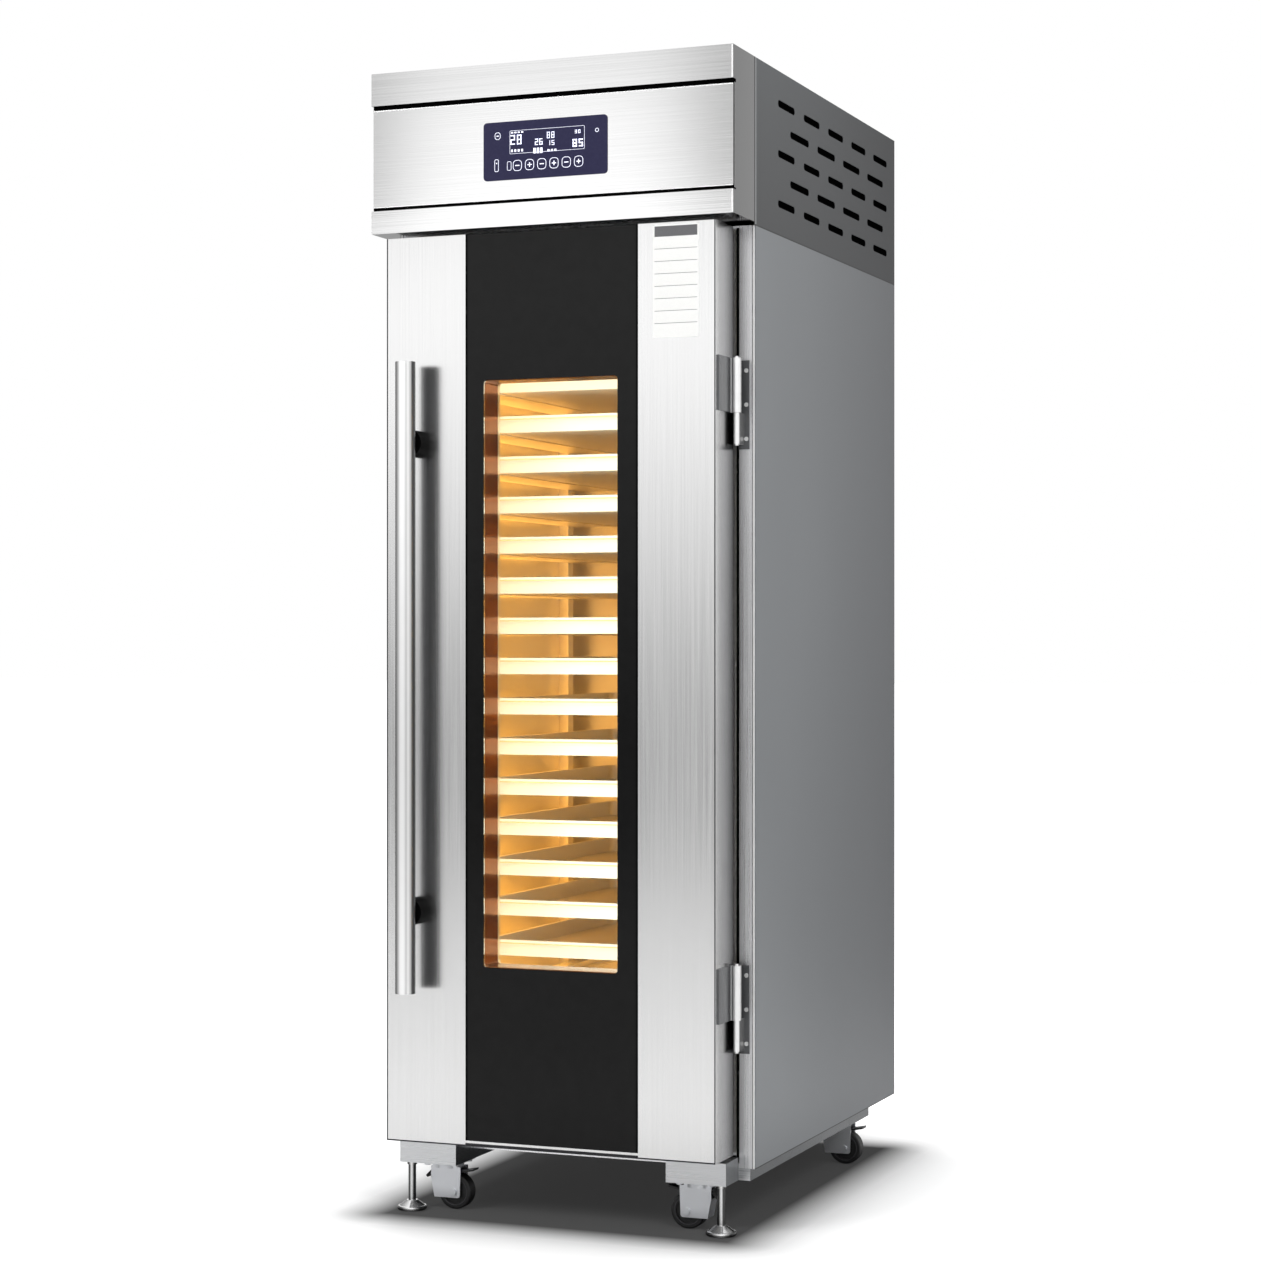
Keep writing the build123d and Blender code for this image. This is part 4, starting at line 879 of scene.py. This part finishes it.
# Painted highlights: near-white lines beside the grooves and along the header's right front corner.
header_highlight_boxes = [
    on_face(recess, -wide, wide - 3 * MM, recess_top - 8.8 * MM, recess_top - GROOVE_SHADE),
    on_face(recess, -wide, wide - 3 * MM, recess_bottom + GROOVE_SHADE, recess_bottom + 8.6 * MM),
    on_face(fascia_low.y, wide - EDGE_HIGHLIGHT, wide, recess_top + MM, fascia_high.z - MM),
    on_face(fascia_low.y, wide - EDGE_HIGHLIGHT, wide, fascia_low.z + MM, recess_bottom - MM),
]
strips("header_painted_shade", "cabinet", header_painted_shade, painted_shade_black)
strips("header_painted_highlights", "cabinet", header_highlight_boxes, painted_highlight_white)

body_low, body_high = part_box("front_frame")
CORNER_HIGHLIGHT = 3.8 * MM
CORNER_SHADE_LINE = 1.2 * MM
corner = body_high.x - 0.2 * MM
# Painted highlights: a near-white line down each front corner of the frame.
corner_highlight_boxes = [
    on_face(body_low.y, corner - CORNER_HIGHLIGHT, corner, body_low.z, body_high.z),
    on_face(body_low.y, -corner, CORNER_HIGHLIGHT - corner, body_low.z, body_high.z),
]
# Painted shade: a grey line beside each of those highlights.
corner_shade_boxes = [
    on_face(body_low.y, corner - CORNER_HIGHLIGHT - CORNER_SHADE_LINE, corner - CORNER_HIGHLIGHT, body_low.z, body_high.z),
    on_face(body_low.y, CORNER_HIGHLIGHT - corner, CORNER_HIGHLIGHT - corner + CORNER_SHADE_LINE, body_low.z, body_high.z),
]
strips("corner_painted_highlights", "cabinet", corner_highlight_boxes, painted_highlight_white)
strips("corner_painted_shades", "cabinet", corner_shade_boxes, painted_shade_grey)
# Painted shade: black strips on the frame's face beside the door's hinge edge and under the door, where the
# gap is in shade.
frame_painted_shades = [
    on_face(body_low.y, door_high.x + 0.5 * MM, door_high.x + 5.5 * MM, door_low.z - 16 * MM, door_high.z),
    on_face(body_low.y, door_low.x, door_high.x, body_low.z + 3 * MM, door_low.z - 2 * MM),
]
strips("frame_painted_shades", "cabinet", frame_painted_shades, painted_shade_black)

# %% Painted shade: black behind the slots
# Thin black sheets stand just behind the side covers' slots as painted shade, so that the slots look dark.
screen_low, screen_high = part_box("machine_cover_right")
SCREEN_EDGE = 30 * MM
SLOT_SHADE_SHEET = 0.2 * MM
behind_sheet = screen_high.x - COVER_SHEET
slot_shade_boxes = []
for side in (-1, 1):
    x0, x1 = sorted((side * behind_sheet, side * (behind_sheet + SLOT_SHADE_SHEET)))
    slot_shade_boxes.append((
        (x0, screen_low.y + SCREEN_EDGE, screen_low.z + SCREEN_EDGE),
        (x1, screen_high.y - SCREEN_EDGE, screen_high.z - SCREEN_EDGE),
    ))
strips("slot_painted_shades", "cabinet", slot_shade_boxes, painted_shade_black)

# %% Strips on the door
HEM_SHADE = 2.4 * MM
PANE_SHADE = 3.2 * MM
door_face = door_low.y
# Painted shade: dark lines along the door's left and right edges and its bottom hem, and a dark strip over
# the hem under the glass that leaves only 4.2 mm of it bright below the pane.
door_shade_boxes = [
    on_face(door_face, door_low.x, door_low.x + 2 * MM, door_low.z, door_high.z),
    on_face(door_face, door_low.x, pane_low.x, door_low.z, door_low.z + HEM_SHADE),
    on_face(door_face, pane_high.x, door_high.x - 2 * MM, door_low.z, door_low.z + HEM_SHADE),
    on_face(door_face, door_high.x - 2.6 * MM, door_high.x - 0.6 * MM, door_low.z, door_high.z),
    on_face(door_face, pane_low.x, pane_high.x + 3.8 * MM, door_low.z, pane_low.z - 4.2 * MM),
]
strips("door_painted_edge_shades", "door", door_shade_boxes, painted_shade_grey)
# Painted shade: a black line along the pane's left edge, and black in the gap beside its right edge.
pane_painted_shades = [
    on_face(pane_low.y, pane_low.x, pane_low.x + PANE_SHADE, pane_low.z, pane_high.z),
    on_face(pane_low.y + STRIP, pane_high.x, pane_high.x + 3.6 * MM, pane_low.z, pane_high.z, 0.5 * MM),
]
strips("pane_painted_shades", "door", pane_painted_shades, painted_shade_black)

# %% [markdown]
# ## Rolled rims on the trays
#
# Each tray's rim is rolled over a wire. The shade under the roll is painted: a strip of the shade's
# colour is laid along each tray's front, just under the roll.

# %% Lay the painted shade under the rims
TRAYS = 15
RIM_DROP = 5 * MM
RIM_SHADE = 1.2 * MM
RIM_CORNER = 6 * MM
for index in range(1, TRAYS + 1):
    name = f"tray_{index:02d}"
    tray_low, tray_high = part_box(name)
    left, right = tray_low.x + RIM_CORNER, tray_high.x - RIM_CORNER
    line_top = tray_high.z - RIM_DROP
    line = [on_face(tray_low.y, left, right, line_top - RIM_SHADE, line_top, 0.2 * MM)]
    strips(f"rim_painted_shade_{index:02d}", name, line, rim_shade)

# %% [markdown]
# ## Wheel rings
#
# Each caster's wheel has a moulded tyre on a hub. A thin grey ring on each side of the wheel marks
# where one meets the other.

# %% Lay the wheel rings
RING_RADIUS = 24.5 * MM
RING_LINE = 0.9 * MM


def wheel_rings(word):
    """Two thin rings for one wheel, whose axle lies fore and aft."""
    low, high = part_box(f"caster_wheel_{word}")
    middle = (low + high) / 2
    pieces = []
    for y in (low.y + 0.2 * MM, high.y - 0.2 * MM):
        bpy.ops.object.select_all(action="DESELECT")
        bpy.ops.mesh.primitive_torus_add(
            location=(middle.x, y, middle.z), rotation=(math.radians(90), 0, 0),
            major_radius=RING_RADIUS, minor_radius=RING_LINE, major_segments=48, minor_segments=8,
        )
        pieces.append(settle(bpy.context.object))
    return shade_smooth(join(f"wheel_rings_{word}", pieces))


for word in ("front_left", "front_right", "rear_left", "rear_right"):
    rings = wheel_rings(word)
    rings.data.materials.append(hub_grey)
    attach(rings, f"wheel_{word}")

# %% [markdown]
# ## The studio
#
# The floor and the surround are white, and the floor keeps the cabinet's shadow. Bright steel only
# shows what stands around it, so a wide graduated wall stands in front of the cabinet, as it does in
# a product studio: bright above, darkest at knee height. Only reflections see it.
#
# The floor's paper carries a painted shadow: it is dark under the cabinet and for about 100 mm round
# it, which deepens the shadow that the lamps throw there.

# %% Floor
def seen_directly(tree):
    """1 for rays that should meet the white background: from the camera, or by way of metal or glass."""
    path = add_node(tree, "ShaderNodeLightPath")
    seen = path.outputs["Is Camera Ray"]
    for kind in ("Is Glossy Ray", "Is Transmission Ray"):
        seen = maths(tree, "MAXIMUM", seen, path.outputs[kind])
    return seen


def stage_material(name):
    """An empty material with just its output."""
    material = bpy.data.materials.new(name)
    material.use_nodes = True
    tree = material.node_tree
    tree.nodes.clear()
    return material, tree, add_node(tree, "ShaderNodeOutputMaterial")


def stage_plane(name, place, size, turn=(0, 0, 0)):
    """A flat rectangle of the studio."""
    bpy.ops.object.select_all(action="DESELECT")
    bpy.ops.mesh.primitive_plane_add(size=1, location=place, rotation=turn)
    plane = bpy.context.object
    plane.name = name
    plane.scale = (*size, 1)
    return settle(plane)


def glow_by(tree, output, strength):
    """Let a stage material glow with a strength."""
    shine = add_node(tree, "ShaderNodeEmission", {"Strength": strength})
    tree.links.new(shine.outputs[0], output.inputs["Surface"])


def only_mirrored(plane):
    """Hide a plane from everything but reflections."""
    for ray in ("camera", "diffuse", "transmission", "volume_scatter", "shadow"):
        setattr(plane, f"visible_{ray}", False)


# Painted shadow: the paper's colour by distance from the cabinet, dark under it.
FLOOR_PAINTED_SHADOW = [
    (0.0, 0.08), (0.015, 0.16), (0.03, 0.3), (0.056, 0.52), (0.085, 0.74), (0.12, 0.8), (0.2, 0.8),
    (8.0, 0.8),
]
# The glow that the camera sees, by distance from the cabinet: kept low near it as part of the painted shadow,
# and white far off.
FLOOR_SEEN = [
    (0.0, 0.03), (0.02, 0.04), (0.05, 0.1), (0.085, 0.22), (0.12, 0.32), (0.2, 0.5), (0.5, 0.65),
    (2.0, 0.85), (8.0, 1.0), (20.0, 1.0),
]
FLOOR_REFLECTED = [(0.0, 0.0), (1.0, 0.1), (2.6, 0.0), (5.4, 0.43), (10.0, 0.43)]
FLOOR_SIZE = 120
STANDING_ROOM = 20 * MM
FRONT_ROOM = 80 * MM


def clear_of_cabinet(tree):
    """How far a point of the floor lies outside the ground that the cabinet darkens, in metres."""
    low, high = cad_low, cad_high
    front, back = low.y + FRONT_ROOM, high.y - STANDING_ROOM
    middle = [(low.x + high.x) / 2, (front + back) / 2, 0.0]
    half = [(high.x - low.x) / 2 - STANDING_ROOM, (back - front) / 2, 1.0]
    reach = add_node(tree, "ShaderNodeTexCoord").outputs["Object"]
    for operation, other in (
        ("SUBTRACT", middle), ("ABSOLUTE", (0, 0, 0)), ("SUBTRACT", half), ("MAXIMUM", (0, 0, 0)),
    ):
        reach = add_node(tree, "ShaderNodeVectorMath", {0: reach, 1: other}, operation=operation).outputs[0]
    return add_node(tree, "ShaderNodeVectorMath", {0: reach}, operation="LENGTH").outputs["Value"]


def studio_floor():
    """A wide white floor: lit paper with a painted shadow under the cabinet, that glows more away from it, so
    it ends in white.
    """
    floor = stage_plane("studio_floor", (0, 0, -0.5 * MM), (FLOOR_SIZE, FLOOR_SIZE))
    material, tree, output = stage_material("white_studio_paper")
    reach = clear_of_cabinet(tree)
    path = add_node(tree, "ShaderNodeLightPath")
    glow = add_node(
        tree, "ShaderNodeMix",
        {
            "Factor": path.outputs["Is Camera Ray"],
            "A": graded(tree, reach, FLOOR_REFLECTED),
            "B": graded(tree, reach, FLOOR_SEEN),
        },
    )
    strength = maths(tree, "MULTIPLY", glow.outputs[0], seen_directly(tree))
    lit = add_node(tree, "ShaderNodeBsdfDiffuse", {"Color": graded(tree, reach, FLOOR_PAINTED_SHADOW)})
    shine = add_node(tree, "ShaderNodeEmission", {"Strength": strength})
    both = add_node(tree, "ShaderNodeAddShader", {0: lit.outputs[0], 1: shine.outputs[0]})
    tree.links.new(both.outputs[0], output.inputs["Surface"])
    floor.data.materials.append(material)


# %% World
WORLD_LIGHT = 0.22


def studio_world():
    """White where it is seen, and a little less as a source of light."""
    world = bpy.data.worlds.new("studio")
    bpy.context.scene.world = world
    world.use_nodes = True
    tree = world.node_tree
    surround = tree.nodes["Background"]
    surround.inputs["Color"].default_value = linear("#ffffff")
    strength = add_node(tree, "ShaderNodeMapRange", {"Value": seen_directly(tree), "To Min": WORLD_LIGHT})
    tree.links.new(strength.outputs["Result"], surround.inputs["Strength"])


# %% The graduated wall
WALL_Y = -7.0
WALL_BY_HEIGHT = [
    (0.0, 0.55), (0.535, 0.34), (0.85, 0.53), (1.21, 0.71), (1.57, 1.0), (2.11, 1.27), (2.42, 1.47),
    (2.78, 1.56), (2.9, 1.3), (3.38, 1.28), (3.5, 1.0), (5.0, 0.9),
]
WALL_X = -1.0
WALL_SIZE = (22, 5)
WAVE_FROM = 2.86
WAVE_HALF = 0.95
WAVE_CREST = -2.88
WAVE_BY_REACH = [
    (0.0, 1.0), (0.42, 1.0), (0.56, 0.95), (0.66, 0.83), (0.71, 0.7), (0.79, 0.51), (0.88, 0.35), (0.95, 0.3),
]
WAVE_BY_HEIGHT = [(WAVE_FROM - 0.12, 0.0), (WAVE_FROM, 1.0), (3.38, 1.0), (3.48, 0.75), (5.0, 0.75)]


def graduated_wall():
    """A wall in front of the cabinet that only reflections see: darker in waves above a height."""
    upright = (math.radians(90), 0, 0)
    wall = stage_plane("graduated_wall", (WALL_X, WALL_Y, WALL_SIZE[1] / 2), WALL_SIZE, upright)
    material, tree, output = stage_material("graduated_studio_paper")
    height = own(tree, "Object", "Z")
    from_crest = maths(tree, "ADD", own(tree, "Object", "X"), -WAVE_CREST)
    share = graded(tree, maths(tree, "PINGPONG", from_crest, WAVE_HALF), WAVE_BY_REACH)
    above = graded(tree, height, WAVE_BY_HEIGHT)
    kept = add_node(tree, "ShaderNodeMix", {"Factor": above, "A": 1.0, "B": share})
    glow_by(tree, output, maths(tree, "MULTIPLY", graded(tree, height, WALL_BY_HEIGHT), kept.outputs[0]))
    wall.data.materials.append(material)
    only_mirrored(wall)


# %% The dark card
def dark_card():
    """A grey card beyond the cabinet's back corner, seen only in the side: it shades it to the back."""
    card = stage_plane("dark_card", (1.0, 3.9, 1.6), (3.2, 3.4), (0, math.radians(-90), 0))
    material, tree, output = stage_material("dark_studio_card")
    glow_by(tree, output, 0.3)
    card.data.materials.append(material)
    only_mirrored(card)


# %% Lamps
def softbox(name, place, aim, width, height, power, hue="#ffffff"):
    """A rectangular lamp aimed at a point, which itself is never seen."""
    bpy.ops.object.light_add(type="AREA", location=place)
    lamp = bpy.context.object
    lamp.name = name
    lamp.data.shape = "RECTANGLE"
    lamp.data.size = width
    lamp.data.size_y = height
    lamp.data.energy = power
    lamp.data.color = linear(hue)[:3]
    lamp.rotation_euler = (Vector(aim) - Vector(place)).to_track_quat("-Z", "Y").to_euler()
    lamp.visible_camera = False
    lamp.visible_transmission = False
    lamp.visible_glossy = False


studio_floor()
studio_world()
graduated_wall()
dark_card()
softbox("top_softbox", (-0.2, 0.6, 5.2), (0, 0.1, 0), 2.0, 2.0, 210)
softbox("left_softbox", (-2.4, -4.2, 3.4), (0, 0, 1.0), 1.6, 1.6, 110)
softbox("right_softbox", (3.2, -3.4, 3.2), (0.3, -0.2, 1.0), 1.4, 1.6, 90)
print("studio ready")

# %% [markdown]
# The chamber is lit from inside, more strongly than the studio lights the cabinet. A cream lamp behind
# the door lights the trays' fronts, and amber strips along the side walls light the trays' insides and
# undersides.

# %% Chamber lamps
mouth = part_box("front_frame")[0].y
liner_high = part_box("inner_liner")[1]
LAMP_HEIGHT = 0.97
STRIP_BACK = 0.34
CREAM = "#fff3e0"
AMBER = "#ffbb64"
softbox("front_fill", (0.02, mouth - 4 * MM, LAMP_HEIGHT), (0.02, 1, LAMP_HEIGHT), 0.44, 1.25, 7.5, CREAM)
for side, word in ((-1, "left"), (1, "right")):
    place = (side * (liner_high.x - 3 * MM), mouth + STRIP_BACK, LAMP_HEIGHT)
    softbox(f"wall_strip_{word}", place, (0, mouth + STRIP_BACK, LAMP_HEIGHT), 0.42, 1.3, 14, AMBER)

# %% [markdown]
# ## Camera
#
# The camera stands 1.03 m high, level, to the right of the cabinet, and looks about a quarter of a
# right angle to the left.

# %% Place the camera
CAMERA_PLACE = (1.909, -4.856, 1.030)
CAMERA_TURN = 21.74
LENS = 76.9
SENSOR = 36
UPWARD_SHIFT = 0.00125
bpy.ops.object.camera_add(location=CAMERA_PLACE, rotation=(math.radians(90), 0, math.radians(CAMERA_TURN)))
camera = bpy.context.object
camera.data.lens = LENS
camera.data.sensor_width = SENSOR
camera.data.shift_y = UPWARD_SHIFT
bpy.context.scene.camera = camera
bpy.context.scene.view_settings.view_transform = "Standard"
